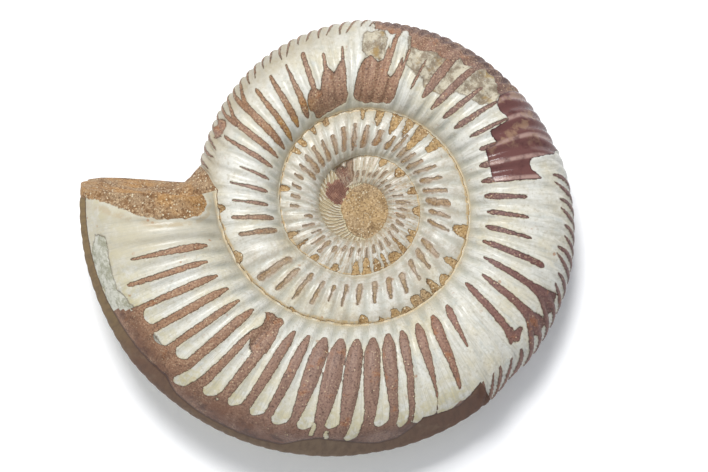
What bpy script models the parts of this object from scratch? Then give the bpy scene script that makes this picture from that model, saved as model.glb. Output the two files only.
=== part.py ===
"""A ribbed ammonite lying on its side, as one closed solid.

The coil, its broken mouth and the matrix in its hollows formed as one piece, so one surface holds them all.
Lengths are in metres and angles in degrees. +X points right and +Y to the back. Seen from above, the angle
grows anticlockwise from the mouth at the left, and the whorls shrink towards the centre as it grows.
"""

import math

import bmesh
import bpy
import numpy as np
from mathutils import Euler, Matrix, Vector, noise

# Size of the coil at its mouth, and how much each measure shrinks in one turn
RIM_RADIUS = 0.0902
SEAM_RADIUS = 0.0445
HALF_THICKNESS = 0.0222
RIM_GROWTH = 1.735
SEAM_GROWTH = 1.812
THICKNESS_GROWTH = 1.76
MOUTH_ANGLE = 183.0
TURNS = 2.84

# Slow wander of the coil about its spiral, as angle and radius
RIM_WANDER = ((178, -0.002), (190, -0.0007), (215, 0.0012), (245, 0.0007), (275, -0.0004), (310, -0.0005),
              (345, 0.0003), (400, -0.0006), (450, 0.0009), (480, 0.0002), (515, -0.0009), (560, 0.0))
SEAM_WANDER = ((180, 0.0005), (210, -0.0001), (255, -0.0009), (318, 0.0009), (335, 0.001), (360, 0.0012),
               (405, 0.0015), (450, 0.0021), (480, 0.0021), (495, 0.0018), (518, 0.0008), (540, 0.0006),
               (565, 0.0011), (590, 0.0001), (625, 0.0009), (670, 0.001), (720, 0.001), (765, 0.0009),
               (810, 0.0005), (840, -0.0002), (870, -0.0006), (900, -0.001))

# Section of a whorl: how far out it is widest, how square it is, and the turn from venter to seam
WIDEST_AT = 0.38
OUTER_SQUARENESS = 2.2
INNER_SQUARENESS = 2.4
SEAM_TURN = 156.0

# Angle at which the radii above are measured
MEASURED_AT = 170.0

# Ribs counted along the coil, as angle and count; their height on the venter at the mouth; how far they sweep
# forward from seam to venter, as angle and sweep, and how much more on the venter; and the share of the way out
# where they fork
RIB_COUNT = ((170, -4.5), (196, 0), (230.6, 6), (236.5, 7), (248, 9), (280, 14), (285.8, 15), (307, 18),
             (320.4, 20), (328, 21), (355, 25), (419, 34), (433, 36), (450.8, 39), (457.5, 40), (494.3, 45),
             (516.3, 48), (556, 53), (577.9, 55), (595.4, 57), (604.5, 58), (620, 60), (628.6, 61), (668.6, 65),
             (687, 67), (704, 69), (721, 71), (748, 74), (770, 77), (783, 79), (805.5, 81), (850, 86),
             (902, 92), (1210, 124))
RIB_HEIGHT = 0.0021
RIB_SWEEP = ((170, 5), (250, 4.7), (280, 6), (300, 8.5), (308, 13), (315, 10), (328, 7.3), (340, 4), (390, 4),
             (412, 7), (425, 4), (470, 5), (490, 7.5), (516, 9), (530, 6.3), (556, 8.5), (577, 4), (620, 4),
             (645, 12), (690, 15), (730, 10), (900, 12))
VENTER_SWEEP = 10.0
VENTER_FROM = 0.65
FORK_FROM = 0.55
FORK_DONE = 0.82
POLISHED_CREST = 0.66

# Broad groove left by a pause in growth, from the seam to the venter
PAUSE_ANGLE = 317.0
PAUSE_DEPTH = 0.0009
PAUSE_WIDTH = 4.5
PAUSE_SWEEP = 9.0
MID_FLANK = 0.4

# Upper venter ground smooth from the mouth to GROUND_END, as angle and depth of the facet
GROUND_DEPTH = ((183, 0.0011), (205, 0.0008), (222, 0.0004), (245, 0.0004), (258, 0.001), (280, 0.0013),
                (299, 0.0013), (303, 0.0))
GROUND_END = 301.0
FACET_SLOPE = 28.0

# Break of the mouth: where it cuts the middle plane, how much it leans, and how far its rim and the matrix
# under it run back from the seam's end, by the turn round the section and by the way across the inner venter
BREAK_ANGLE = 176.5
BREAK_LEAN = 5.0
BREAK_FILLET = 3.0
MOUTH_SLANT = ((-156, -15.5), (-120, -14.7), (-90, -13.4), (-60, -12), (-35, -10.5), (0, -7.4), (30, -5.5),
               (60, -4.5), (120, -4), (142, -6), (156, -8.3))
MOUTH_SPAN = 26.0
UNDERLAP_SLANT = ((0, -8.3), (0.04, -9.3), (0.09, -12), (0.16, -14), (0.25, -15.5), (0.4, -17), (0.6, -17),
                  (0.8, -16.5), (1, -15.5))
UNDERLAP_SPAN = 38.0
BREAK_ROUGHNESS = 0.0011

# Rounding of the upper rim of the break: how far the edge drops, and the angle over which it does
BEVEL_DROP = 0.0022
BEVEL_SPAN = 7.0

# Matrix at the centre, which the innermost whorl sinks into over this angle
CORE_SPAN = 80.0
CORE_ROUGHNESS = 0.0003

# Seed of the roughness of the break and of the matrix, so that each run gives the same fossil
NOISE_SEED = 1795837458

# Pose on the ground: lean of the coil about X and Y, and where its axis meets its middle plane, which centres
# the fossil over the origin and puts its lowest spots just below z = 0, so that they are cut to flats
LEAN_X = -1.0
LEAN_Y = 2.7
AXIS_PLACE = (0.00966, 0.00898, 0.0182)

# Fineness of the surface before it is thinned, and the share of its faces that is kept
STEPS_PER_TURN = 540
EXPOSED_COLUMNS = 12
VENTER_COLUMNS = 8
KEPT_SHARE = 0.092

SHELL_COLOUR = (0.74, 0.71, 0.62, 1.0)
SHELL_ROUGHNESS = 0.35

HALF_COLUMNS = EXPOSED_COLUMNS + VENTER_COLUMNS
LAST_COLUMN = 2 * HALF_COLUMNS
LAST_RING = round(TURNS * STEPS_PER_TURN)
LAST_ANGLE = MOUTH_ANGLE + 360.0 * TURNS


def clear_scene():
    """Removes every object that the scene starts with."""
    for item in list(bpy.data.objects):
        bpy.data.objects.remove(item, do_unlink=True)


def knots(table, angle):
    """Straight-line value between hand-set knots."""
    places, values = zip(*table)
    return float(np.interp(angle, places, values))


def ease(low, high, value):
    """0 below low, 1 above high, smooth between."""
    share = min(max((value - low) / (high - low), 0.0), 1.0)
    return share * share * (3 - 2 * share)


def coil_measures(angle):
    """Radius of the inner seam, radius of the venter, and half the thickness of the whorl."""
    turns = (angle - MEASURED_AT) / 360.0
    seam = SEAM_RADIUS * SEAM_GROWTH**-turns + knots(SEAM_WANDER, angle)
    rim = RIM_RADIUS * RIM_GROWTH**-turns + knots(RIM_WANDER, angle)
    return seam, rim, HALF_THICKNESS * THICKNESS_GROWTH**-turns


def section_point(angle, turn):
    """Radius and height of the smooth whorl; turn is 0 on the venter and SEAM_TURN at the seam."""
    seam, rim, half = coil_measures(angle)
    widest = seam + WIDEST_AT * (rim - seam)
    across = math.cos(math.radians(turn))
    if across >= 0:
        radius = widest + (rim - widest) * across ** (2 / OUTER_SQUARENESS)
    else:
        share = across / math.cos(math.radians(SEAM_TURN))
        radius = widest - (widest - seam) * share ** (2 / INNER_SQUARENESS)
    sunk = ease(LAST_ANGLE - CORE_SPAN, LAST_ANGLE, angle)
    height = math.sin(math.radians(turn))
    return radius, half * (height + sunk * (math.sin(math.radians(SEAM_TURN)) - height))


def covered_turn(angle):
    """Turn round the section at which the next outer whorl starts to cover this one."""
    seam, rim, _ = coil_measures(angle)
    widest = seam + WIDEST_AT * (rim - seam)
    cover = coil_measures(angle - 360.0)[0]
    share = min(max((cover - widest) / (rim - widest), 0.0), 1.0)
    return math.degrees(math.acos(share ** (OUTER_SQUARENESS / 2)))


def way_out(turn):
    """Share of the way round the section from the seam to the venter."""
    return 1 - turn / SEAM_TURN


def rib_relief(angle, turn):
    """Rib profile from 0 in a groove to 1 on a crest: single ribs on the flank, forked ones on the venter."""
    outward = way_out(turn)
    sweep = knots(RIB_SWEEP, angle) * (outward - MID_FLANK) + VENTER_SWEEP * max(0.0, outward - VENTER_FROM)
    count = knots(RIB_COUNT, angle + sweep)
    offset = abs(count - round(count))
    fork = ease(FORK_FROM, FORK_DONE, outward)
    crest = 0.25 * fork
    if offset >= crest:
        return 0.5 + 0.5 * math.cos(math.pi * (offset - crest) / (0.5 - crest))
    return 1 - fork * (0.5 - 0.5 * math.cos(math.pi * (crest - offset) / crest))


def ground_share(angle, turn, side):
    """How far the ribs are ground away here, from 0 to 1."""
    near_mouth = 1 - ease(GROUND_END - 2, GROUND_END + 2, angle)
    upper = ease(-25, -8, side * turn) * (1 - ease(44, 78, side * turn))
    return near_mouth * upper


def rib_height(angle, turn, side):
    """Height of a crest above its groove here."""
    half = coil_measures(angle)[2]
    outward = way_out(turn)
    height = RIB_HEIGHT * half / HALF_THICKNESS
    height *= ease(0.0, 0.14, outward) * (0.7 + 0.3 * ease(0.5, 0.9, outward))
    return height * (1 - 0.85 * ground_share(angle, turn, side))


def pause_relief(angle, turn):
    """Depth of the growth pause, which crosses the ribs at a slant."""
    outward = way_out(turn)
    distance = (angle + PAUSE_SWEEP * (outward - MID_FLANK) - PAUSE_ANGLE) / PAUSE_WIDTH
    return PAUSE_DEPTH * math.exp(-distance * distance) * ease(0.02, 0.2, outward)


def grind(angle, turn, radius, height):
    """Pushes the upper venter back to the flat facet that was ground on it near the mouth."""
    depth = knots(GROUND_DEPTH, angle)
    if depth <= 0 or turn > 90:
        return radius, height
    out = math.cos(math.radians(FACET_SLOPE))
    up = math.sin(math.radians(FACET_SLOPE))
    top_radius, top_height = section_point(angle, FACET_SLOPE)
    excess = (radius - top_radius) * out + (height - top_height) * up + depth
    if excess <= 0:
        return radius, height
    return radius - excess * out, height - excess * up


def rim_bevel(angle, turn, side):
    """How far the upper face drops towards the rim of the break."""
    from_rim = angle - MOUTH_ANGLE - knots(MOUTH_SLANT, side * turn)
    near_rim = max(0.0, 1 - from_rim / BEVEL_SPAN)
    return BEVEL_DROP * near_rim * near_rim * ease(0, 60, side * turn) * ease(0, 0.15, way_out(turn))


def shell_point(angle, turn, side):
    """Point of the ribbed shell; side is 1 above the middle plane and -1 below it."""
    radius, height = section_point(angle, turn)
    profile = min(rib_relief(angle, turn), POLISHED_CREST)
    relief = rib_height(angle, turn, side) * (profile - POLISHED_CREST) - pause_relief(angle, turn)
    relief -= rim_bevel(angle, turn, side)
    radius += relief * math.cos(math.radians(turn))
    height += relief * math.sin(math.radians(turn))
    radius, height = grind(angle, turn, radius, side * height)
    return coil_point(radius, height, angle)


def coil_point(radius, height, angle):
    """Place in the coil's own frame."""
    around = math.radians(angle)
    return Vector((radius * math.cos(around), radius * math.sin(around), height))


def column_place(angle, column):
    """Turn round the section and side of a column; columns run from the top seam to the bottom one."""
    side = 1 if column <= HALF_COLUMNS else -1
    step = min(column, LAST_COLUMN - column)
    covered = covered_turn(angle)
    if step <= EXPOSED_COLUMNS:
        return SEAM_TURN + (covered - SEAM_TURN) * step / EXPOSED_COLUMNS, side
    return covered * (HALF_COLUMNS - step) / VENTER_COLUMNS, side


def ring_angle(ring, column):
    """Angle of a surface point: plain along the coil, and slanted near the broken mouth."""
    angle = MOUTH_ANGLE + 360.0 * ring / STEPS_PER_TURN
    turn, side = column_place(angle, column)
    near_mouth = max(0.0, 1 - (angle - MOUTH_ANGLE) / MOUTH_SPAN)
    slant = knots(MOUTH_SLANT, side * turn) * near_mouth
    across = (column - EXPOSED_COLUMNS) / (2 * VENTER_COLUMNS)
    near_cover = 1 - ease(0, UNDERLAP_SPAN, abs(angle - MOUTH_ANGLE - 360.0))
    return angle + slant + knots(UNDERLAP_SLANT, across) * near_cover


def has_column(ring, column):
    """Whether the whorl has this column here: inner whorls have no venter in sight."""
    return ring <= STEPS_PER_TURN or min(column, LAST_COLUMN - column) <= EXPOSED_COLUMNS


def seam_partner(ring, column):
    """The point of the next inner whorl that a seam point is, or the point itself."""
    if ring + STEPS_PER_TURN <= LAST_RING:
        if column == 0:
            return ring + STEPS_PER_TURN, EXPOSED_COLUMNS
        if column == LAST_COLUMN:
            return ring + STEPS_PER_TURN, LAST_COLUMN - EXPOSED_COLUMNS
    return ring, column


def add_shell(mesh):
    """Adds the ribbed whorls as a loft along the coil, and returns its points by ring and column."""
    points = {}
    for ring in range(LAST_RING, -1, -1):
        for column in range(LAST_COLUMN + 1):
            partner = seam_partner(ring, column)
            if partner != (ring, column):
                points[ring, column] = points[partner]
            elif has_column(ring, column):
                turn, side = column_place(MOUTH_ANGLE + 360.0 * ring / STEPS_PER_TURN, column)
                points[ring, column] = mesh.verts.new(shell_point(ring_angle(ring, column), turn, side))
    for ring in range(LAST_RING):
        for column in range(LAST_COLUMN):
            shown = has_column(ring + 1, column) and has_column(ring + 1, column + 1)
            if not shown and ring >= STEPS_PER_TURN:
                continue
            corners = [points[ring, column], points[ring + 1, column], points[ring + 1, column + 1],
                       points[ring, column + 1]]
            mesh.faces.new(corners)
    return points


def break_point(start, share):
    """Point of the broken mouth, a share of the way from its edge to its middle."""
    radius = math.hypot(start.x, start.y)
    angle = math.degrees(math.atan2(start.y, start.x)) % 360
    middle = sum(coil_measures(BREAK_ANGLE)[:2]) / 2
    fillet = angle - BREAK_ANGLE - BREAK_LEAN * start.z / HALF_THICKNESS
    radius += (middle - radius) * share
    height = start.z * (1 - share)
    angle = BREAK_ANGLE + BREAK_LEAN * height / HALF_THICKNESS + fillet * (1 - share) ** BREAK_FILLET
    place = coil_point(radius, height, angle)
    return place + noise.noise_vector(place * 260.0) * BREAK_ROUGHNESS * min(1.0, 4 * share)


def core_point(start, share):
    """Point of the matrix at the centre, a share of the way from its edge to its middle."""
    place = Vector((start.x * (1 - share), start.y * (1 - share), start.z))
    return place + noise.noise_vector(place * 500.0) * CORE_ROUGHNESS * share


def fill_loop(mesh, loop, steps, place):
    """Closes a loop with rings that shrink to its middle, each point put where place(start, share) says."""
    outer = loop
    for step in range(1, steps):
        inner = [mesh.verts.new(place(start.co, step / steps)) for start in loop]
        join_rings(mesh, outer, inner)
        outer = inner
    hub = mesh.verts.new(sum((corner.co for corner in outer), Vector()) / len(outer))
    for index, corner in enumerate(outer):
        mesh.faces.new((corner, outer[(index + 1) % len(outer)], hub))


def join_rings(mesh, outer, inner):
    """Adds the band of faces between two rings of as many points."""
    for index in range(len(outer)):
        after = (index + 1) % len(outer)
        mesh.faces.new((outer[index], outer[after], inner[after], inner[index]))


def mouth_loop(points):
    """The rim of the broken mouth, and the venter of the whorl that it sits on."""
    rim = [points[0, column] for column in range(LAST_COLUMN + 1)]
    last_covered = LAST_COLUMN - EXPOSED_COLUMNS
    venter = [points[STEPS_PER_TURN, column] for column in range(last_covered - 1, EXPOSED_COLUMNS, -1)]
    return rim + venter


def core_loop(points, side):
    """The edge of the matrix at the centre of one face of the coil."""
    seam_column = 0 if side > 0 else LAST_COLUMN
    seam = [points[ring, seam_column] for ring in range(LAST_RING - STEPS_PER_TURN, LAST_RING + 1)]
    inward = range(1, EXPOSED_COLUMNS)
    end = [points[LAST_RING, step if side > 0 else LAST_COLUMN - step] for step in inward]
    return seam + end


def build_surface():
    """Makes the whole surface, in the pose in which the fossil rests."""
    mesh = bmesh.new()
    points = add_shell(mesh)
    fill_loop(mesh, mouth_loop(points), 12, break_point)
    for side in (1, -1):
        fill_loop(mesh, core_loop(points, side), 6, core_point)
    bmesh.ops.recalc_face_normals(mesh, faces=mesh.faces)
    lean = Euler((math.radians(LEAN_X), math.radians(LEAN_Y), 0.0)).to_matrix().to_4x4()
    bmesh.ops.transform(mesh, matrix=Matrix.Translation(AXIS_PLACE) @ lean, verts=mesh.verts)
    return mesh


def shell_material():
    """Cream shell with a soft polish."""
    material = bpy.data.materials.new("polished_shell")
    material.use_nodes = True
    shader = material.node_tree.nodes["Principled BSDF"]
    shader.inputs["Base Color"].default_value = SHELL_COLOUR
    shader.inputs["Roughness"].default_value = SHELL_ROUGHNESS
    shader.inputs["Metallic"].default_value = 0.0
    return material


def collection_named(name, helper=False):
    """A new collection in the scene; one for helpers isn't rendered."""
    collection = bpy.data.collections.new(name)
    collection.hide_render = helper
    bpy.context.scene.collection.children.link(collection)
    return collection


def add_ground_cutter(collection):
    """A slab whose top is z = 0, to cut the flats that the fossil rests on."""
    slab = bmesh.new()
    bmesh.ops.create_cube(slab, size=1.0)
    size = Matrix.Diagonal((4 * RIM_RADIUS, 4 * RIM_RADIUS, RIM_RADIUS, 1.0))
    bmesh.ops.transform(slab, matrix=Matrix.Translation((0, 0, -RIM_RADIUS / 2)) @ size, verts=slab.verts)
    data = bpy.data.meshes.new("ground_cutter")
    slab.to_mesh(data)
    slab.free()
    cutter = bpy.data.objects.new("ground_cutter", data)
    cutter.hide_render = True
    cutter.display_type = "WIRE"
    collection.objects.link(cutter)
    return cutter


def add_ammonite(collection, cutter):
    """The fossil: its surface thinned to few faces, then cut flat where it rests."""
    mesh = build_surface()
    data = bpy.data.meshes.new("ammonite")
    mesh.to_mesh(data)
    mesh.free()
    data.shade_smooth()
    data.materials.append(shell_material())
    fossil = bpy.data.objects.new("ammonite", data)
    collection.objects.link(fossil)
    thin = fossil.modifiers.new("thin", "DECIMATE")
    thin.ratio = KEPT_SHARE
    flats = fossil.modifiers.new("flats", "BOOLEAN")
    flats.operation = "DIFFERENCE"
    flats.solver = "EXACT"
    flats.object = cutter
    return fossil


def main():
    """Builds the ammonite."""
    noise.seed_set(NOISE_SEED)
    clear_scene()
    parts = collection_named("ammonite")
    cutters = collection_named("cutters", helper=True)
    add_ammonite(parts, add_ground_cutter(cutters))


main()
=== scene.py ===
"""Looks of a ribbed ammonite: polished cream shell, worn through to brown stone, with matrix in its hollows.

The surface repeats the coil, the ribs and the breaks of the solid, on a finer lattice. The angle grows
anticlockwise from the mouth at the left, and the whorls shrink as it grows. The way out runs from 0 at a
whorl's inner seam to 1 on its venter, and on to 2 at the seam of the lower face. Lengths are in metres.
"""

import logging
import math
import random
from dataclasses import dataclass, field
from enum import Enum

import bpy
import numpy as np
from mathutils import Euler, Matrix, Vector, noise


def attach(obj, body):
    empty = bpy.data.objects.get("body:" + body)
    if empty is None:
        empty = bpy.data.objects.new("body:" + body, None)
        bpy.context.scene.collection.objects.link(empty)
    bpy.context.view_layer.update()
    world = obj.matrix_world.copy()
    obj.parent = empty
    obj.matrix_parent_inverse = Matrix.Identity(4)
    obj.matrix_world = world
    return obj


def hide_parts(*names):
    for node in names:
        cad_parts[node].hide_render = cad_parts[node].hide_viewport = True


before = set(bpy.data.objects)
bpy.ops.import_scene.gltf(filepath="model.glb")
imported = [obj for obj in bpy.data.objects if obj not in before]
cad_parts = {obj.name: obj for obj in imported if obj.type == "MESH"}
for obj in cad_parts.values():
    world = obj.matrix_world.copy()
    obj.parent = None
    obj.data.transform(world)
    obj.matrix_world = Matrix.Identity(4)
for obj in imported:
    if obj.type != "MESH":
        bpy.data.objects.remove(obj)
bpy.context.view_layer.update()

LOG = logging.getLogger("ammonite")
MM = 0.001
LIGHT_LEVEL = 1.3
OUTSIDE = -3.0
FIRST_INNER_CREST = 52
# The seed of the solid's roughness, so that the break has the same lumps
NOISE_SEED = 1795837458

Array = np.ndarray
Knots = tuple[tuple[float, float], ...]
Outline = tuple[tuple[float, float], ...]
Colour = tuple[int, int, int]


def knots(table: Knots, value: Array) -> Array:
    """Reads a straight-line value between given knots.

    Args:
        table: Pairs of place and value, by rising place.
        value: Places to read.

    Returns:
        The value at each place.
    """
    places, values = zip(*table)
    return np.interp(value, places, values)


def ease(low: float, high: float, value: Array) -> Array:
    """Goes smoothly from 0 below low to 1 above high.

    Args:
        low: Where the rise starts.
        high: Where it ends.
        value: Places to read.

    Returns:
        The share at each place.
    """
    share = np.clip((value - low) / (high - low), 0.0, 1.0)
    return share * share * (3 - 2 * share)


def grain(points: Array, fineness: float) -> Array:
    """Smooth noise from about -1 to 1 at some points.

    Args:
        points: Places, one a row.
        fineness: Bumps a metre.

    Returns:
        The noise at each place.
    """
    return np.array([noise.noise(Vector(point) * fineness) for point in points])


# Wander of the seam of the plainer coil on which the worn places were read off the photo.
READ_WANDER: Knots = ((180, 0.0005), (210, -0.0001), (255, -0.0009), (310, 0.0006), (350, -0.0003),
                      (430, 0.0), (480, 0.0007), (530, -0.0002), (565, 0.0011), (590, -0.0001),
                      (625, 0.0006), (720, 0.0002), (840, -0.001))


@dataclass(frozen=True)
class Coil:
    """The smooth spiral shell, without its ribs."""

    rim_radius: float = 0.0902
    seam_radius: float = 0.0445
    half_thickness: float = 0.0222
    rim_growth: float = 1.735
    seam_growth: float = 1.812
    thickness_growth: float = 1.76
    measured_at: float = 170.0
    mouth_angle: float = 183.0
    turns: float = 2.84
    rim_wander: Knots = ((178, -0.002), (190, -0.0007), (215, 0.0012), (245, 0.0007), (275, -0.0004),
                         (310, -0.0005), (345, 0.0003), (400, -0.0006), (450, 0.0009), (480, 0.0002),
                         (515, -0.0009), (560, 0.0))
    seam_wander: Knots = ((180, 0.0005), (210, -0.0001), (255, -0.0009), (318, 0.0009), (335, 0.001),
                          (360, 0.0012), (405, 0.0015), (450, 0.0021), (480, 0.0021), (495, 0.0018),
                          (518, 0.0008), (540, 0.0006), (565, 0.0011), (590, 0.0001), (625, 0.0009),
                          (670, 0.001), (720, 0.001), (765, 0.0009), (810, 0.0005), (840, -0.0002),
                          (870, -0.0006), (900, -0.001))
    widest_at: float = 0.38
    outer_squareness: float = 2.2
    inner_squareness: float = 2.4
    seam_turn: float = 156.0
    core_span: float = 80.0
    lean: tuple[float, float, float] = (-1.0, 2.7, 0.0)
    axis_place: tuple[float, float, float] = (0.00966, 0.00898, 0.0182)

    @property
    def last_angle(self) -> float:
        """Angle at which the innermost whorl ends in the matrix."""
        return self.mouth_angle + 360.0 * self.turns

    def measures(self, angle: Array) -> tuple[Array, Array, Array]:
        """Sizes of the whorl at an angle.

        Args:
            angle: Angles along the coil, in degrees.

        Returns:
            Radius of the inner seam, radius of the venter, and half the thickness.
        """
        turns = (angle - self.measured_at) / 360.0
        seam = self.seam_radius * self.seam_growth**-turns + knots(self.seam_wander, angle)
        rim = self.rim_radius * self.rim_growth**-turns + knots(self.rim_wander, angle)
        return seam, rim, self.half_thickness * self.thickness_growth**-turns

    def section(self, angle: Array, turn: Array) -> tuple[Array, Array]:
        """Outline of the whorl's section.

        Args:
            angle: Angles along the coil.
            turn: Turn round the section, 0 on the venter and seam_turn at the seam.

        Returns:
            Radius and height above the middle plane.
        """
        seam, rim, half = self.measures(angle)
        widest = seam + self.widest_at * (rim - seam)
        across = np.cos(np.radians(turn))
        outer = widest + (rim - widest) * np.maximum(across, 0.0) ** (2 / self.outer_squareness)
        share = np.maximum(across / math.cos(math.radians(self.seam_turn)), 0.0)
        inner = widest - (widest - seam) * share ** (2 / self.inner_squareness)
        sunk = ease(self.last_angle - self.core_span, self.last_angle, angle)
        height = np.sin(np.radians(turn))
        lowered = height + sunk * (math.sin(math.radians(self.seam_turn)) - height)
        return np.where(across >= 0, outer, inner), half * lowered

    def way_at(self, angle: Array, radius: Array) -> Array:
        """Share of the way out at which the section has a radius."""
        seam, rim, _ = self.measures(angle)
        widest = seam + self.widest_at * (rim - seam)
        outer = np.clip((radius - widest) / (rim - widest), 0.0, 1.0) ** (self.outer_squareness / 2)
        inner = np.clip((widest - radius) / (widest - seam), 0.0, 1.0) ** (self.inner_squareness / 2)
        across = np.where(radius >= widest, outer, inner * math.cos(math.radians(self.seam_turn)))
        return 1 - np.degrees(np.arccos(across)) / self.seam_turn

    def covered_turn(self, angle: Array) -> Array:
        """Turn round the section at which the next outer whorl starts to cover this one."""
        seam, rim, _ = self.measures(angle)
        widest = seam + self.widest_at * (rim - seam)
        cover = self.measures(angle - 360.0)[0]
        share = np.clip((cover - widest) / (rim - widest), 0.0, 1.0)
        return np.degrees(np.arccos(share ** (self.outer_squareness / 2)))

    def shown_share(self, angle: Array) -> Array:
        """Share of the way out that the next outer whorl leaves in sight."""
        return 1 - self.covered_turn(angle) / self.seam_turn

    def place(self, radius: Array, height: Array, angle: Array) -> Array:
        """Points of the coil in its own frame, one a row."""
        around = np.radians(angle)
        return np.stack((radius * np.cos(around), radius * np.sin(around), height), axis=-1)

    def rest(self, points: Array) -> Array:
        """Puts points of the coil in the pose in which the fossil lies."""
        turn = np.array(Euler([math.radians(part) for part in self.lean]).to_matrix())
        return points @ turn.T + np.array(self.axis_place)


@dataclass(frozen=True)
class Ribs:
    """Ribs along the coil: single on the flank, forked on the venter."""

    coil: Coil
    count: Knots = ((170, -4.5), (196, 0), (230.6, 6), (236.5, 7), (248, 9), (280, 14), (285.8, 15), (307, 18),
                    (320.4, 20), (328, 21), (355, 25), (419, 34), (433, 36), (450.8, 39), (457.5, 40),
                    (494.3, 45), (516.3, 48), (556, 53), (577.9, 55), (595.4, 57), (604.5, 58), (620, 60),
                    (628.6, 61), (668.6, 65), (687, 67), (704, 69), (721, 71), (748, 74), (770, 77), (783, 79),
                    (805.5, 81), (850, 86), (902, 92), (1210, 124))
    sweep: Knots = ((170, 5), (250, 4.7), (280, 6), (300, 8.5), (308, 13), (315, 10), (328, 7.3), (340, 4),
                    (390, 4), (412, 7), (425, 4), (470, 5), (490, 7.5), (516, 9), (530, 6.3), (556, 8.5),
                    (577, 4), (620, 4), (645, 12), (690, 15), (730, 10), (900, 12))
    middle: float = 0.4
    venter_sweep: float = 10.0
    venter_from: float = 0.65
    height: float = 0.0021
    fork_from: float = 0.55
    fork_done: float = 0.82
    polished_crest: float = 0.66

    def counted(self, angle: Array, outward: Array) -> Array:
        """Ribs counted up to a point; a whole number lies on the line of a rib.

        Args:
            angle: Angles along the coil.
            outward: Share of the way out, from 0 to 1.

        Returns:
            The count at each point.
        """
        swept = knots(self.sweep, angle) * (outward - self.middle)
        swept = swept + self.venter_sweep * np.maximum(0.0, outward - self.venter_from)
        return knots(self.count, angle + swept)

    def profile(self, angle: Array, outward: Array) -> Array:
        """Relief from 0 in a groove to 1 on a crest."""
        count = self.counted(angle, outward)
        offset = np.abs(count - np.round(count))
        fork = ease(self.fork_from, self.fork_done, outward)
        crest = 0.25 * fork
        flank = 0.5 + 0.5 * np.cos(np.pi * (offset - crest) / (0.5 - crest))
        between = 0.5 - 0.5 * np.cos(np.pi * (crest - offset) / np.maximum(crest, 1e-9))
        return np.where(offset >= crest, flank, 1 - fork * between)

    def tallness(self, angle: Array, outward: Array, ground: Array) -> Array:
        """Height of a crest above its groove.

        Args:
            angle: Angles along the coil.
            outward: Share of the way out.
            ground: How far the ribs are ground away, from 0 to 1.

        Returns:
            The height in metres.
        """
        size = self.coil.measures(angle)[2] / self.coil.half_thickness
        shape = ease(0.0, 0.14, outward) * (0.7 + 0.3 * ease(0.5, 0.9, outward))
        return self.height * size * shape * (1 - 0.85 * ground)

    def spacing(self, angle: Array, radius: Array) -> Array:
        """Distance from one rib to the next, in millimetres."""
        step = knots(self.count, angle + 0.5) - knots(self.count, angle - 0.5)
        return np.radians(1 / step) * radius / MM


@dataclass(frozen=True)
class GrowthPause:
    """Broad groove that crosses the ribs at a slant."""

    angle: float = 317.0
    depth: float = 0.0009
    width: float = 4.5
    sweep: float = 9.0
    middle: float = 0.4

    def depth_at(self, angle: Array, outward: Array) -> Array:
        """Depth of the groove, in metres."""
        distance = (angle + self.sweep * (outward - self.middle) - self.angle) / self.width
        return self.depth * np.exp(-distance * distance) * ease(0.02, 0.2, outward)


@dataclass(frozen=True)
class GroundFacet:
    """Flat facet ground on the upper venter from the mouth on."""

    coil: Coil
    depth: Knots = ((183, 0.0011), (205, 0.0008), (222, 0.0004), (245, 0.0004), (258, 0.001), (280, 0.0013),
                    (299, 0.0013), (303, 0.0))
    end: float = 301.0
    slope: float = 28.0
    crease: Knots = ((183, 0.87), (200, 0.85), (215, 0.8), (222, 0.78), (226, 0.85), (232, 0.87), (252, 0.87),
                     (256, 0.8), (260, 0.76), (266, 0.79), (274, 0.86), (279, 0.85), (283, 0.78), (286, 0.72),
                     (290, 0.74), (296, 0.78), (301, 0.72), (304, 0.7))
    lower_edge: float = 1.1

    def share(self, angle: Array, turn: Array, side: Array) -> Array:
        """How far the ribs are ground away, from 0 to 1."""
        near_mouth = 1 - ease(self.end - 2, self.end + 2, angle)
        return near_mouth * ease(-25, -8, side * turn) * (1 - ease(44, 78, side * turn))

    def grind(self, angle: Array, turn: Array, radius: Array, height: Array) -> tuple[Array, Array]:
        """Pushes the surface back to the facet where it stands proud of it.

        Args:
            angle: Angles along the coil.
            turn: Turn round the section.
            radius: Radius of the surface.
            height: Height of the surface above the middle plane.

        Returns:
            Radius and height after grinding.
        """
        depth = knots(self.depth, angle)
        out = math.cos(math.radians(self.slope))
        up = math.sin(math.radians(self.slope))
        top_radius, top_height = self.coil.section(angle, np.full_like(angle, self.slope))
        excess = (radius - top_radius) * out + (height - top_height) * up + depth
        excess = np.where((depth > 0) & (turn <= 90), np.maximum(excess, 0.0), 0.0)
        return radius - excess * out, height - excess * up

    def inside(self, angle: Array, way: Array) -> Array:
        """How far a point is inside the facet, in shares of the way out."""
        inside = np.minimum(way - knots(self.crease, angle), self.lower_edge - way)
        return np.where(angle < self.end + 3, inside, -1.0)


@dataclass(frozen=True)
class Lens:
    """A worn slot along one crest, blunt at its inner end and tapered outwards.

    Args:
        crest: Number of the crest.
        start: Inner end, as a share of the way out.
        end: Outer end.
        half: Half its greatest width, in shares of a rib's spacing.
        taper: Width near the outer end, as a share of the greatest.
    """

    crest: int
    start: float
    end: float
    half: float
    taper: float


def lenses(*rows: tuple[int, float, float, float, float]) -> tuple[Lens, ...]:
    """Makes slots from rows of crest, start, end, half width and taper."""
    return tuple(Lens(*row) for row in rows)


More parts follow.
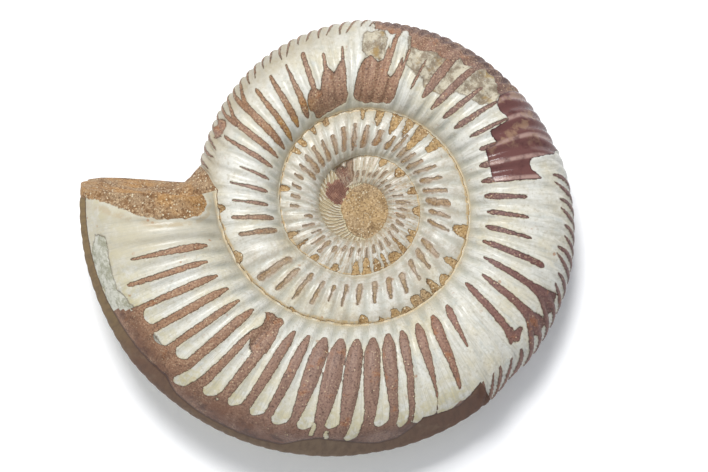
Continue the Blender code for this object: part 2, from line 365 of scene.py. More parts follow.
@dataclass(frozen=True)
class Wear:
    """Where polish and breakage cut through the shell, read off the fossil's upper face.

    Its ways out are those of a plainer coil, without the slow wander of the seam on the upper right.
    """

    coil: Coil
    ribs: Ribs
    facet: GroundFacet
    body_slots: tuple[Lens, ...] = lenses(
        (0, .22, .60, .21, .25), (1, .27, .66, .16, .55), (2, .26, .70, .20, .45), (3, .25, .75, .22, .6),
        (4, .25, .75, .19, .6), (5, .23, .78, .27, .5), (6, .36, .75, .20, .6), (7, .30, .75, .28, .6),
        (8, .22, .75, .29, .5), (9, .22, .75, .28, .45), (10, .21, .75, .45, .25), (11, .20, .78, .51, .3),
        (12, .20, .80, .46, .3), (13, .20, .78, .46, .3), (14, .19, .75, .43, .12), (15, .20, .65, .29, .15),
        (16, .20, .65, .27, .12), (17, .21, .66, .29, .3), (18, .22, .50, .23, .3), (20, .22, .68, .18, .8),
        (21, .32, .86, .17, .8), (22, .28, .84, .16, .9), (23, .24, .63, .17, .85), (24, .25, .53, .17, .4),
        (25, .26, .51, .16, .5), (26, .25, .51, .20, .45), (27, .25, .60, .18, .8), (28, .28, .50, .20, .8),
        (29, .34, .50, .15, .8), (30, .33, .58, .12, .5), (31, .28, .60, .19, .4), (32, .28, .60, .18, .5),
        (33, .28, .80, .22, .6), (34, .33, .80, .26, .6), (35, .36, .56, .08, .5), (36, .38, .60, .10, .6),
        (37, .40, .75, .15, .8), (40, .30, .60, .16, .3), (41, .30, .59, .20, .3), (42, .35, .66, .16, .7),
        (43, .20, .64, .25, .2), (44, .20, .65, .25, .4), (45, .14, .66, .23, .45), (46, .17, .86, .27, .35),
        (47, .20, .88, .22, .35), (48, .23, .69, .18, .4), (49, .24, .50, .12, .3), (50, .24, .55, .15, .35),
        (51, .23, .53, .14, .3))
    inner_slots: tuple[Lens, ...] = lenses(
        (52, .30, .82, .15, .5), (53, .30, .80, .15, .45), (55, .42, .90, .14, .8), (56, .50, .85, .12, .6),
        (57, .43, .84, .10, .5), (58, .48, .80, .10, .5), (59, .50, .72, .09, .4), (60, .42, .75, .09, .4),
        (61, .40, .72, .12, .5), (62, .40, .72, .12, .5), (63, .42, .72, .14, .5), (64, .48, .74, .16, .5),
        (65, .38, .70, .13, .4), (66, .35, .70, .18, .5), (67, .35, .72, .20, .5), (69, .38, .75, .15, .4),
        (70, .40, .75, .15, .4), (71, .35, .76, .25, .7), (72, .35, .75, .15, .6), (73, .38, .75, .14, .5),
        (74, .35, .75, .14, .5), (75, .30, .65, .20, .4), (76, .33, .65, .20, .5), (77, .40, .80, .22, .5),
        (78, .45, .80, .15, .5), (79, .45, .70, .18, .4), (80, .48, .73, .22, .6), (81, .42, .78, .22, .5),
        (82, .38, .82, .20, .5), (83, .42, .80, .20, .5), (84, .44, .74, .18, .5), (85, .40, .75, .18, .5),
        (86, .40, .77, .20, .5), (87, .42, .78, .22, .5), (88, .40, .78, .18, .5), (89, .70, .80, .12, .5),
        (90, .70, .80, .10, .5), (91, .70, .80, .10, .5), (92, .70, .80, .10, .5))
    last_crest: int = 124
    forked: tuple[int, ...] = (20, 21, 22, 28, 29, 46, 47)
    venter_start: float = 0.72
    venter_crests: tuple[tuple[int, int, float], ...] = ((18, 27, 0.125), (38, 51, 0.06))
    tips: tuple[tuple[int, float, float], ...] = (
        (2, .66, .9), (3, .68, .9), (4, .65, .8), (5, .78, .62), (6, .72, .7), (7, .70, .65), (8, .70, .7),
        (9, .71, .75), (10, .71, .75), (11, .69, .75), (12, .79, .55), (13, .70, .75), (14, .74, .6),
        (15, .76, 1.1), (16, .77, 1.2), (17, .76, 1.3))
    bare: tuple[Outline, ...] = (
        ((229.4, .42), (231.5, .40), (233, .43), (236, .45), (238.6, .42), (238.5, .32), (237.6, .25),
         (238.1, .19), (235.5, .15), (229.3, .18), (231.2, .23), (232, .3), (230.3, .36)),
        ((432.6, .44), (432.3, .25), (434, .19), (440, .175), (448, .17), (452, .2), (453.5, .25), (453, .33),
         (451.5, .42), (449, .49), (446, .52), (443, .48), (441, .5), (439.6, .62), (438.6, .5), (438.6, .43),
         (436.8, .41), (435.3, .44), (433.8, .54)),
        ((456.9, .5), (456.8, .3), (456.2, .27), (458, .2), (462, .17), (468, .15), (474, .135), (476.5, .14),
         (476.6, .21), (478.5, .26), (478, .33), (475.8, .39), (473.5, .42), (469.5, .38), (467, .45),
         (464.5, .5), (461.5, .45), (458.5, .5)),
        ((508, .84), (508, .74), (511, .71), (515, .73), (515.3, .83), (512, .87)),
        ((323, .8), (324.5, .68), (325.8, .63), (327.3, .65), (328.3, .75), (327.5, .84), (324, .86)),
        ((329.5, .83), (330.5, .72), (333, .64), (335, .66), (335.6, .8), (333.5, .85), (332.4, .77), (331, .85)),
        ((317, .64), (319, .62), (322.3, .66), (322, .69), (318, .7)),
        ((397, .64), (400, .68), (405, .76), (409, .72), (411, .68), (413, .67), (416, .69), (419.5, .62),
         (423, .64), (427, .62), (432.5, .61), (433, .7), (434.5, .76), (437, .74), (436.5, .7), (439.5, .7),
         (441, .73), (445, .74), (445.5, .9), (444, 1.1), (392, 1.1), (392, .8)))
    maroon: tuple[Outline, ...] = (
        ((367.6, .62), (371, .575), (374.5, .58), (374.8, .7), (375, .8), (377, 1.02), (392, 1.02), (397, .82),
         (398, .64), (396, .58), (389.5, .58), (389, .45), (383.5, .45), (383, .38), (380, .37), (371, .345),
         (368.3, .36)),)
    calcite: tuple[Outline, ...] = (
        ((396.5, .57), (399, .51), (404, .49), (409, .47), (411, .41), (421, .41), (424, .45), (432, .48),
         (433, .55), (434, .72), (427, .75), (400, .75)),
        ((440.5, .66), (441, .5), (446, .49), (449.5, .55), (449.5, .66), (446, .73), (442, .72)),
        ((188, .7), (200, .72), (205, .68), (212, .66), (220, .66), (221, .75), (218, .8), (214, .86),
         (210, .87), (207.5, .82), (205.5, .87), (201.5, .88), (199, .83), (196.5, .875), (192.5, .88),
         (190, .85), (187, .78)))
    cream: tuple[Outline, ...] = (
        ((233.6, .71), (234, .69), (234.6, .70), (234.3, .72)),
        ((257.2, .75), (257.8, .66), (258.9, .66), (258.4, .75)),
        ((260.7, .76), (261.2, .70), (262.3, .71), (262, .78)), ((264.1, .79), (264.5, .77), (264.9, .79)))
    mouth: Outline = ((172, 1.12), (176, 1.1), (178, 1), (179.5, .8), (180.5, .7), (182.5, .6), (185, .5),
                      (186.5, .43), (186.8, .3), (186, .22), (184, .15), (181, .11), (170, .1), (160, .5))
    seam_patches: tuple[tuple[float, float, float], ...] = (
        (542.5, 2, .92), (564, 3, .9), (597, 2, .96), (631.5, 2.5, .87), (640, 1.2, .94), (647.5, 2.5, .88),
        (653.5, 2.5, .92), (660, 3, .82), (665.5, 2.5, .85), (671.5, 2.5, .8), (678, 3, .9), (687.5, 2.5, .82),
        (705.5, 3.5, .82), (759, 3, .82), (770, 3.5, .62), (778.5, 2.5, .76), (787, 3, .76), (797.5, 2.5, .8),
        (808, 1.5, .92), (832, 2, .94), (841.5, 1.5, .93), (852.5, 2.5, .9), (859, 2, .88), (887.5, 2.5, .85),
        (923.5, 2.5, .75), (934, 2, .75), (950, 3, .85), (968.5, 3.5, .85), (986.5, 3.5, .75), (996.5, 3.5, .65),
        (1006, 4, .75), (1014, 2, .75), (1024, 6, .82), (1035.5, 2.5, .7), (1047, 3, .85), (1053, 2.5, .8),
        (1075, 5, .85), (1096, 4, .8), (1120, 5, .85), (1142, 4, .85))
    core_patch: Outline = ((1176, .62), (1178, .5), (1180, .3), (1185, .14), (1192, .1), (1206, .0), (1206, .5),
                           (1196, .6), (1190, .46), (1183, .6))
    seed: int = 7

    def slot_table(self, upper: bool) -> Array:
        """Slots by crest, on one face of the coil.

        Args:
            upper: Whether it is the face that shows.

        Returns:
            A row for each crest with start, end, half width and taper, all 0 where there is none.
        """
        table = np.zeros((self.last_crest + 2, 4))
        dice = random.Random(self.seed)
        if upper:
            for lens in self.body_slots:
                table[lens.crest] = (lens.start, lens.end, lens.half, lens.taper)
            for lens in self.inner_slots:
                table[lens.crest] = (lens.start - 0.03, lens.end + 0.04, lens.half * 1.35, lens.taper)
        first = len(self.body_slots) + len(self.inner_slots) + 5 if upper else 2
        for crest in range(first, self.last_crest + 1):
            start = dice.uniform(0.22, 0.34) if crest < FIRST_INNER_CREST else dice.uniform(0.35, 0.5)
            end = start + dice.uniform(0.2, 0.4)
            table[crest] = (start, end, dice.uniform(0.1, 0.24), dice.uniform(0.3, 0.7))
        return table

    def branch_table(self) -> Array:
        """Slots on the forked crests of the venter, by crest."""
        table = np.zeros((self.last_crest + 2, 4))
        for first, last, half in self.venter_crests:
            for crest in range(first, last + 1):
                table[crest] = (self.venter_start + 0.03 * math.sin(2.3 * crest), 1.3, half, 0.9)
        return table

    def tip_table(self) -> Array:
        """Outer ends of the white bands, by the crest before each: place and bluntness."""
        table = np.tile((9.0, 1.0), (self.last_crest + 2, 1))
        for groove, tip, bluntness in self.tips:
            table[groove] = (tip, bluntness)
        return table

    def chart(self, angle: Array, way: Array) -> Array:
        """Lays points of a whorl out flat, in millimetres along and across it."""
        seam, rim, half = self.coil.measures(angle)
        along = np.radians(angle) * (seam + rim) / 2 / MM
        across = way * np.pi * np.sqrt(half * (rim - seam) / 2) / MM * 0.93
        return np.stack((along, across), axis=-1)

    def depth_inside(self, outline: Outline, angle: Array, way: Array) -> Array:
        """How far points are inside an outline, in millimetres, and below 0 outside it.

        Args:
            outline: Corners, as angle and way out.
            angle: Angles of the points.
            way: Ways out of the points.

        Returns:
            The depth of each point, down to OUTSIDE.
        """
        corners = np.array(outline, float)
        middle = corners[:, 0].mean()
        seam, rim, half = self.coil.measures(np.array(middle))
        scale = np.array((math.radians(1) * float(seam + rim) / 2 / MM, float(half) * 2.9 / MM))
        result = np.full(angle.shape, OUTSIDE)
        reach = 4 / scale
        near = (angle > corners[:, 0].min() - reach[0]) & (angle < corners[:, 0].max() + reach[0])
        near &= (way > corners[:, 1].min() - reach[1]) & (way < corners[:, 1].max() + reach[1])
        points = np.stack((angle[near], way[near]), axis=-1) * scale
        shape = corners * scale
        gap = np.full(len(points), 1e9)
        odd = np.zeros(len(points), bool)
        for first, second in zip(shape, np.roll(shape, -1, axis=0)):
            edge = second - first
            share = np.clip(((points - first) @ edge) / max(edge @ edge, 1e-9), 0, 1)
            gap = np.minimum(gap, np.linalg.norm(points - first - share[:, None] * edge, axis=1))
            crosses = (first[1] > points[:, 1]) != (second[1] > points[:, 1])
            rise = edge[1] if abs(edge[1]) > 1e-12 else 1e-12
            odd ^= crosses & (points[:, 0] < edge[0] * (points[:, 1] - first[1]) / rise + first[0])
        result[near] = np.maximum(np.where(odd, gap, -gap), OUTSIDE)
        return result

    def deepest(self, outlines: tuple[Outline, ...], angle: Array, way: Array) -> Array:
        """How far points are inside the nearest of some outlines, in millimetres."""
        result = np.full(angle.shape, OUTSIDE)
        for outline in outlines:
            result = np.maximum(result, self.depth_inside(outline, angle, way))
        return result

    def sand_depth(self, angle: Array, way: Array) -> Array:
        """How far points are inside the sandy patches at the outer seams of the inner whorls."""
        shown = way / self.coil.shown_share(angle)
        result = np.full(angle.shape, OUTSIDE)
        for middle, half, inner in self.seam_patches:
            reach = np.hypot((angle - middle) / half, np.maximum(0.0, 1 - shown) / (1 - inner))
            size = half * math.radians(1) * float(self.coil.measures(np.array(middle))[1]) / MM
            result = np.maximum(result, np.where(way < 1, (1 - reach) * size, OUTSIDE))
        return result


@dataclass(frozen=True)
class Break:
    """The broken mouth, and the matrix that fills it."""

    coil: Coil
    angle: float = 176.5
    lean: float = 5.0
    fillet: float = 3.0
    slant: Knots = ((-156, -15.5), (-120, -14.7), (-90, -13.4), (-60, -12), (-35, -10.5), (0, -7.4),
                    (30, -5.5), (60, -4.5), (120, -4), (142, -6), (156, -8.3))
    span: float = 26.0
    underlap: Knots = ((0, -8.3), (0.04, -9.3), (0.09, -12), (0.16, -14), (0.25, -15.5), (0.4, -17),
                       (0.6, -17), (0.8, -16.5), (1, -15.5))
    underlap_span: float = 38.0
    bevel_drop: float = 0.0022
    bevel_span: float = 7.0
    roughness: float = 0.0011
    steps: int = 22

    def slanted(self, angle: Array, signed_turn: Array, across: Array) -> Array:
        """Angle of a lattice point once the rim of the break and the matrix under it are slanted.

        Args:
            angle: Plain angle of its ring.
            signed_turn: Turn round the section, below 0 on the lower face.
            across: Way across the inner venter, from 0 to 1.

        Returns:
            The angle of the surface point.
        """
        near_mouth = np.maximum(0.0, 1 - (angle - self.coil.mouth_angle) / self.span)
        near_cover = 1 - ease(0, self.underlap_span, np.abs(angle - self.coil.mouth_angle - 360.0))
        return angle + knots(self.slant, signed_turn) * near_mouth + knots(self.underlap, across) * near_cover

    def bevel(self, angle: Array, signed_turn: Array, outward: Array) -> Array:
        """How far the upper face drops towards the rim of the break."""
        from_rim = angle - self.coil.mouth_angle - knots(self.slant, signed_turn)
        near_rim = np.maximum(0.0, 1 - from_rim / self.bevel_span)
        return self.bevel_drop * near_rim * near_rim * ease(0, 60, signed_turn) * ease(0, 0.15, outward)

    def filled(self, start: Array, share: float) -> Array:
        """Points of the break, a share of the way from its edge to its middle.

        Args:
            start: The edge, in the coil's frame.
            share: From 0 at the edge to 1 in the middle.

        Returns:
            The points, one for each of the edge.
        """
        radius = np.hypot(start[:, 0], start[:, 1])
        angle = np.degrees(np.arctan2(start[:, 1], start[:, 0])) % 360
        seam, rim, _ = self.coil.measures(np.array(self.angle))
        thick = start[:, 2] / self.coil.half_thickness
        run_back = angle - self.angle - self.lean * thick
        radius = radius + ((seam + rim) / 2 - radius) * share
        height = start[:, 2] * (1 - share)
        angle = self.angle + self.lean * height / self.coil.half_thickness
        angle = angle + run_back * (1 - share) ** self.fillet
        points = self.coil.place(radius, height, angle)
        rough = np.array([noise.noise_vector(Vector(point) * 260.0)[:] for point in points])
        fine = np.array([noise.noise_vector(Vector(point) * 800.0)[:] for point in points])
        return points + (rough + 0.35 * fine) * self.roughness * min(1.0, 4 * share)


@dataclass(frozen=True)
class Core:
    """The matrix at the centre of the coil, which stands a little above the last whorl round it."""

    roughness: float = 0.0002
    fineness: float = 850.0
    steps: int = 11
    middle: tuple[float, float] = (0.0021, -0.0011)
    reach: float = 0.0083
    rise: float = 0.0004

    def filled(self, start: Array, share: float) -> Array:
        """Points of the core, a share of the way from its edge to its middle."""
        points = start * np.array((1 - share, 1 - share, 1.0))
        away = np.hypot(points[:, 0] - self.middle[0], points[:, 1] - self.middle[1])
        raised = self.rise * ease(0.0, 0.0009, self.reach - away) * min(1.0, 5 * share)
        raised = raised + self.roughness * min(1.0, 3 * share) * grain(points, self.fineness)
        points[:, 2] += np.sign(points[:, 2]) * raised
        return points


class Stone(Enum):
    """The finish of a face, by its place among the fossil's materials."""

    SHELL = 0
    MATRIX = 1
    CORE = 2


@dataclass
class Surface:
    """The whole outside of the fossil as one closed mesh, laid on rings and columns."""

    coil: Coil
    ribs: Ribs
    pause: GrowthPause
    facet: GroundFacet
    wear: Wear
    mouth: Break
    core: Core
    per_turn: int = 660
    upper: int = 36
    venter: int = 20
    lower: int = 14
    recess: float = 0.0004
    unevenness: float = 0.00007
    calcite_lumps: float = 0.00035
    points: list[Array] = field(default_factory=list)
    corners: list[tuple[int, ...]] = field(default_factory=list)

    @property
    def last_column(self) -> int:
        """Number of the column on the lower seam."""
        return self.upper + self.venter + self.lower

    @property
    def last_ring(self) -> int:
        """Number of the innermost ring."""
        return round(self.coil.turns * self.per_turn)

    def plain_angle(self, ring: Array) -> Array:
        """Angle of a ring."""
        return self.coil.mouth_angle + 360.0 * ring / self.per_turn

    def signed_turn(self, ring: Array, column: Array) -> Array:
        """Turn round the section of lattice points, below 0 on the lower face."""
        covered = self.coil.covered_turn(self.plain_angle(ring))
        seam = self.coil.seam_turn
        top = seam + (covered - seam) * column / self.upper
        middle = covered * (1 - 2 * (column - self.upper) / self.venter)
        bottom = -covered - (seam - covered) * (column - self.upper - self.venter) / self.lower
        return np.select((column <= self.upper, column < self.upper + self.venter), (top, middle), bottom)

    def grid(self, ring: Array, column: Array) -> dict[str, Array]:
        """Coil terms of lattice points.

        Args:
            ring: Numbers of the rings.
            column: Numbers of the columns.

        Returns:
            Their angle, turn, side, share of the way out, and way from the upper to the lower seam.
        """
        signed = self.signed_turn(ring, column)
        across = (column - self.upper) / self.venter
        angle = self.mouth.slanted(self.plain_angle(ring), signed, across)
        side = np.where(signed >= 0, 1.0, -1.0)
        turn = np.abs(signed)
        outward = 1 - turn / self.coil.seam_turn
        read = self.wear.coil.way_at(angle, self.coil.section(angle, turn)[0])
        way = np.where(side > 0, read, 2 - read)
        return {"angle": angle, "turn": turn, "side": side, "outward": outward, "read": read, "way": way}

    def fields(self, at: dict[str, Array]) -> dict[str, Array]:
        """Depths inside the worn and broken areas, in millimetres."""
        angle, way = at["angle"], at["way"]
        thickness = self.coil.measures(angle)[2] / MM * 2.9
        return {
            "bare": np.maximum(self.wear.deepest(self.wear.bare, angle, way),
                               self.wear.deepest((self.wear.core_patch,), angle, way)),
            "maroon": self.wear.deepest(self.wear.maroon, angle, way),
            "calcite": self.wear.deepest(self.wear.calcite, angle, way),
            "cream": self.wear.deepest(self.wear.cream, angle, way),
            "mouth": self.wear.depth_inside(self.wear.mouth, angle, way),
            "sand": self.wear.sand_depth(angle, way),
            "facet": np.clip(self.facet.inside(angle, way) * thickness, OUTSIDE, 9),
        }

    def shell_points(self, at: dict[str, Array], zones: dict[str, Array]) -> Array:
        """Points of the ribbed shell, in the coil's frame.

        Args:
            at: Coil terms of the points.
            zones: Depths inside the worn areas.

        Returns:
            The points, one a row.
        """
        angle, turn, side, outward = at["angle"], at["turn"], at["side"], at["outward"]
        radius, height = self.coil.section(angle, turn)
        ground = self.facet.share(angle, turn, side)
        profile = np.minimum(self.ribs.profile(angle, outward), self.ribs.polished_crest)
        relief = self.ribs.tallness(angle, outward, ground) * (profile - self.ribs.polished_crest)
        relief = relief - self.pause.depth_at(angle, outward)
        hollow = np.maximum(ease(-0.3, 0.5, zones["bare"]), ease(-0.3, 0.5, zones["maroon"]))
        relief = relief - self.recess * hollow
        relief = relief - self.mouth.bevel(angle, side * turn, outward)
        relief = relief - self.recess * ease(-0.2, 0.5, zones["mouth"]) * (side > 0)
        relief = relief - 0.3 * self.recess * ease(-0.3, 0.4, zones["sand"])
        plain = self.coil.place(radius, side * height, angle)
        relief = relief + self.unevenness * (grain(plain, 180.0) + 0.5 * grain(plain, 520.0) - 1.1)
        relief = relief + self.calcite_lumps * (grain(plain, 480.0) - 0.5) * ease(-0.1, 0.7, zones["calcite"])
        radius = radius + relief * np.cos(np.radians(turn))
        height = height + relief * np.sin(np.radians(turn))
        radius, height = self.facet.grind(angle, turn, radius, side * height)
        return self.coil.place(radius, height, angle)

    def build(self) -> bpy.types.Object:
        """Builds the mesh with its attributes.

        Returns:
            The fossil's object, not yet dressed.
        """
        ring, column = self.own_nodes()
        number = np.full((self.last_ring + 1, self.last_column + 1), -1)
        number[ring, column] = np.arange(len(ring))
        self.share_seams(number)
        at = self.grid(ring.astype(float), column.astype(float))
        self.points = [self.shell_points(at, self.fields(at))]
        cells = self.shell_cells()
        faces = [tuple(number[corner] for corner in cell) for cell in cells]
        plain = len(faces)
        faces += self.fill(self.mouth_loop(number), self.mouth, reverse=True)
        broken = len(faces)
        faces += self.fill(self.core_loop(number, True), self.core, reverse=False)
        faces += self.fill(self.core_loop(number, False), self.core, reverse=True)
        points = self.coil.rest(np.concatenate(self.points))
        points[:, 2] = np.maximum(points[:, 2], 0.0)
        mesh = bpy.data.meshes.new("ammonite")
        mesh.from_pydata(points.tolist(), [], faces)
        mesh.shade_smooth()
        kinds = np.full(len(faces), Stone.SHELL.value, np.int32)
        kinds[plain:broken] = Stone.MATRIX.value
        kinds[broken:] = Stone.CORE.value
        mesh.polygons.foreach_set("material_index", kinds)
        self.write_attributes(mesh, cells)
        LOG.info("surface: %d points, %d faces, %d triangles", len(points), len(faces),
                 sum(len(face) - 2 for face in faces))
        return bpy.data.objects.new("ammonite_shell", mesh)

    def own_nodes(self) -> tuple[Array, Array]:
        """Rings and columns of the lattice points that aren't shared with the next inner whorl."""
        ring, column = np.meshgrid(np.arange(self.last_ring + 1), np.arange(self.last_column + 1), indexing="ij")
        ring, column = ring.ravel(), column.ravel()
        shown = (column <= self.upper) | (column >= self.upper + self.venter)
        kept = (ring <= self.per_turn) | (shown & (column % 2 == 0))
        seam = (column == 0) | (column == self.last_column)
        kept &= ~(seam & (ring + self.per_turn <= self.last_ring))
        return ring[kept], column[kept]

    def share_seams(self, number: Array) -> None:
        """Gives each seam point the number of the point of the next inner whorl that it lies on."""
        rings = np.arange(self.last_ring - self.per_turn, -1, -1)
        number[rings, 0] = number[rings + self.per_turn, self.upper]
        number[rings, self.last_column] = number[rings + self.per_turn, self.upper + self.venter]

    def shell_cells(self) -> list[tuple[tuple[int, int], ...]]:
        """Faces of the shell as tuples of ring and column, facing out."""
        cells = []
        for ring in range(self.per_turn):
            for column in range(self.last_column):
                cells.append(((ring, column), (ring, column + 1), (ring + 1, column + 1), (ring + 1, column)))
        starts = [*range(0, self.upper, 2), *range(self.upper + self.venter, self.last_column, 2)]
        for column in starts:
            ring = self.per_turn
            cells.append(((ring, column), (ring, column + 1), (ring, column + 2), (ring + 1, column + 2),
                          (ring + 1, column)))
        for ring in range(self.per_turn + 1, self.last_ring):
            for column in starts:
                cells.append(((ring, column), (ring, column + 2), (ring + 1, column + 2), (ring + 1, column)))
        return cells

    def mouth_loop(self, number: Array) -> list[int]:
        """Rim of the broken mouth, and the venter of the whorl that it sits on."""
        rim = list(number[0, :])
        return rim + list(number[self.per_turn, self.upper + self.venter - 1:self.upper:-1])

    def core_loop(self, number: Array, upper: bool) -> list[int]:
        """Edge of the matrix at the centre of one face of the coil."""
        seam = list(number[self.last_ring - self.per_turn:, 0 if upper else self.last_column])
        if upper:
            return seam + list(number[self.last_ring, 2:self.upper:2])
        return seam + list(number[self.last_ring, self.last_column - 2:self.upper + self.venter:-2])

    def fill(self, loop: list[int], filler: Break | Core, reverse: bool) -> list[tuple[int, ...]]:
        """Closes a loop with rings that shrink to its middle.

        Args:
            loop: Point numbers of the loop.
            filler: What gives the points inside it.
            reverse: Whether the faces run against the loop.

        Returns:
            The new faces.
        """
        start = np.concatenate(self.points)[loop]
        outer = list(loop)
        faces = []
        for step in range(1, filler.steps):
            first = sum(len(block) for block in self.points)
            self.points.append(filler.filled(start, step / filler.steps))
            inner = list(range(first, first + len(loop)))
            faces += self.band(outer, inner, reverse)
            outer = inner
        hub = sum(len(block) for block in self.points)
        self.points.append(self.points[-1].mean(axis=0, keepdims=True))
        for index, corner in enumerate(outer):
            after = outer[(index + 1) % len(outer)]
            faces.append((after, corner, hub) if reverse else (corner, after, hub))
        return faces

    @staticmethod
    def band(outer: list[int], inner: list[int], reverse: bool) -> list[tuple[int, ...]]:
        """Faces between two rings of as many points."""
        faces = []
        for index, corner in enumerate(outer):
            after = (index + 1) % len(outer)
            face = (corner, outer[after], inner[after], inner[index])
            faces.append(face[::-1] if reverse else face)
        return faces

    def write_attributes(self, mesh: bpy.types.Mesh, cells: list[tuple[tuple[int, int], ...]]) -> None:
        """Stores what the finish reads at each corner of the shell's faces.

        Args:
            mesh: The fossil's mesh, whose first faces are the shell's.
            cells: The shell's faces as rings and columns.
        """
        sizes = np.array([len(cell) for cell in cells])
        flat = np.array([corner for cell in cells for corner in cell])
        at = self.grid(flat[:, 0].astype(float), flat[:, 1].astype(float))
        zones = self.fields(at)
        radius, _ = self.coil.section(at["angle"], at["turn"])
        count = self.ribs.counted(at["angle"], at["outward"])
        shown = np.clip(at["outward"] / self.coil.shown_share(at["angle"]), 0, 3)
        owner = np.repeat(np.arange(len(cells)), sizes)
        middle = np.bincount(owner, count) / sizes
        upper = np.bincount(owner, at["side"]) > 0
        angle = np.bincount(owner, at["angle"]) / sizes
        crest = np.clip(np.round(middle).astype(int), -1, self.wear.last_crest + 1)
        slot = np.where(upper[:, None], self.wear.slot_table(True)[crest], self.wear.slot_table(False)[crest])
        inner = (crest >= FIRST_INNER_CREST)[:, None] & np.array((True, True, False, False))
        slot = np.where(inner, slot * self.wear.coil.shown_share(angle)[:, None], slot)
        branch = self.wear.branch_table()[crest]
        tip = self.wear.tip_table()[np.clip(np.floor(middle).astype(int), -1, self.wear.last_crest + 1)]
        tip = np.where(upper[:, None], tip, np.array((9.0, 1.0)))
        forked = np.isin(crest, self.wear.forked) & upper
        chart = self.wear.chart(at["angle"], at["way"])
        whorl = np.repeat(flat[:, 0][np.cumsum(sizes) - sizes] // self.per_turn, sizes) * 50.0
        spacing = self.ribs.spacing(at["angle"], radius)
        table = {
            "coil": (count, at["read"], at["angle"], spacing),
            "slot": slot[owner].T,
            "branch": branch[owner].T,
            "tip": (tip[owner, 0], tip[owner, 1], forked[owner] * 1.0, zones["cream"]),
            "patch": (zones["bare"], zones["maroon"], zones["calcite"], zones["sand"]),
            "edge": (zones["facet"], zones["mouth"], at["outward"], shown),
            "flow": (chart[:, 0], chart[:, 1], whorl, at["side"]),
        }
        total = len(mesh.loops)
        for name, parts in table.items():
            values = np.zeros((total, 4), np.float32)
            values[:len(flat)] = np.stack(list(parts), axis=-1)
            layer = mesh.attributes.new(name, "FLOAT_COLOR", "CORNER")
            layer.data.foreach_set("color", values.ravel())


def paint(colour: Colour, light: float = LIGHT_LEVEL) -> tuple[float, float, float, float]:
    """Turns a colour as seen under the studio's light into the linear values that a shader takes.

    Args:
        colour: Red, green and blue, from 0 to 255.
        light: Strength of the light that falls on the top of the fossil.

    Returns:
        The four values.
    """
    parts = [value / 255 for value in colour]
    linear = [part / 12.92 if part <= 0.04045 else ((part + 0.055) / 1.055) ** 2.4 for part in parts]
    return (*(part / light for part in linear), 1.0)


Socket = bpy.types.NodeSocket
Value = Socket | float
Stops = tuple[tuple[float, Colour], ...]


class Sum(Enum):
    """Blender's names for the sums that the finishes use."""

    PLUS = "ADD"
    MINUS = "SUBTRACT"
    TIMES = "MULTIPLY"
    OVER = "DIVIDE"
    MOST = "MAXIMUM"
    LEAST = "MINIMUM"
    SIZE = "ABSOLUTE"
    NEAREST = "ROUND"
    ROOT = "SQRT"
    WAVE = "SINE"
    BEARING = "ARCTAN2"


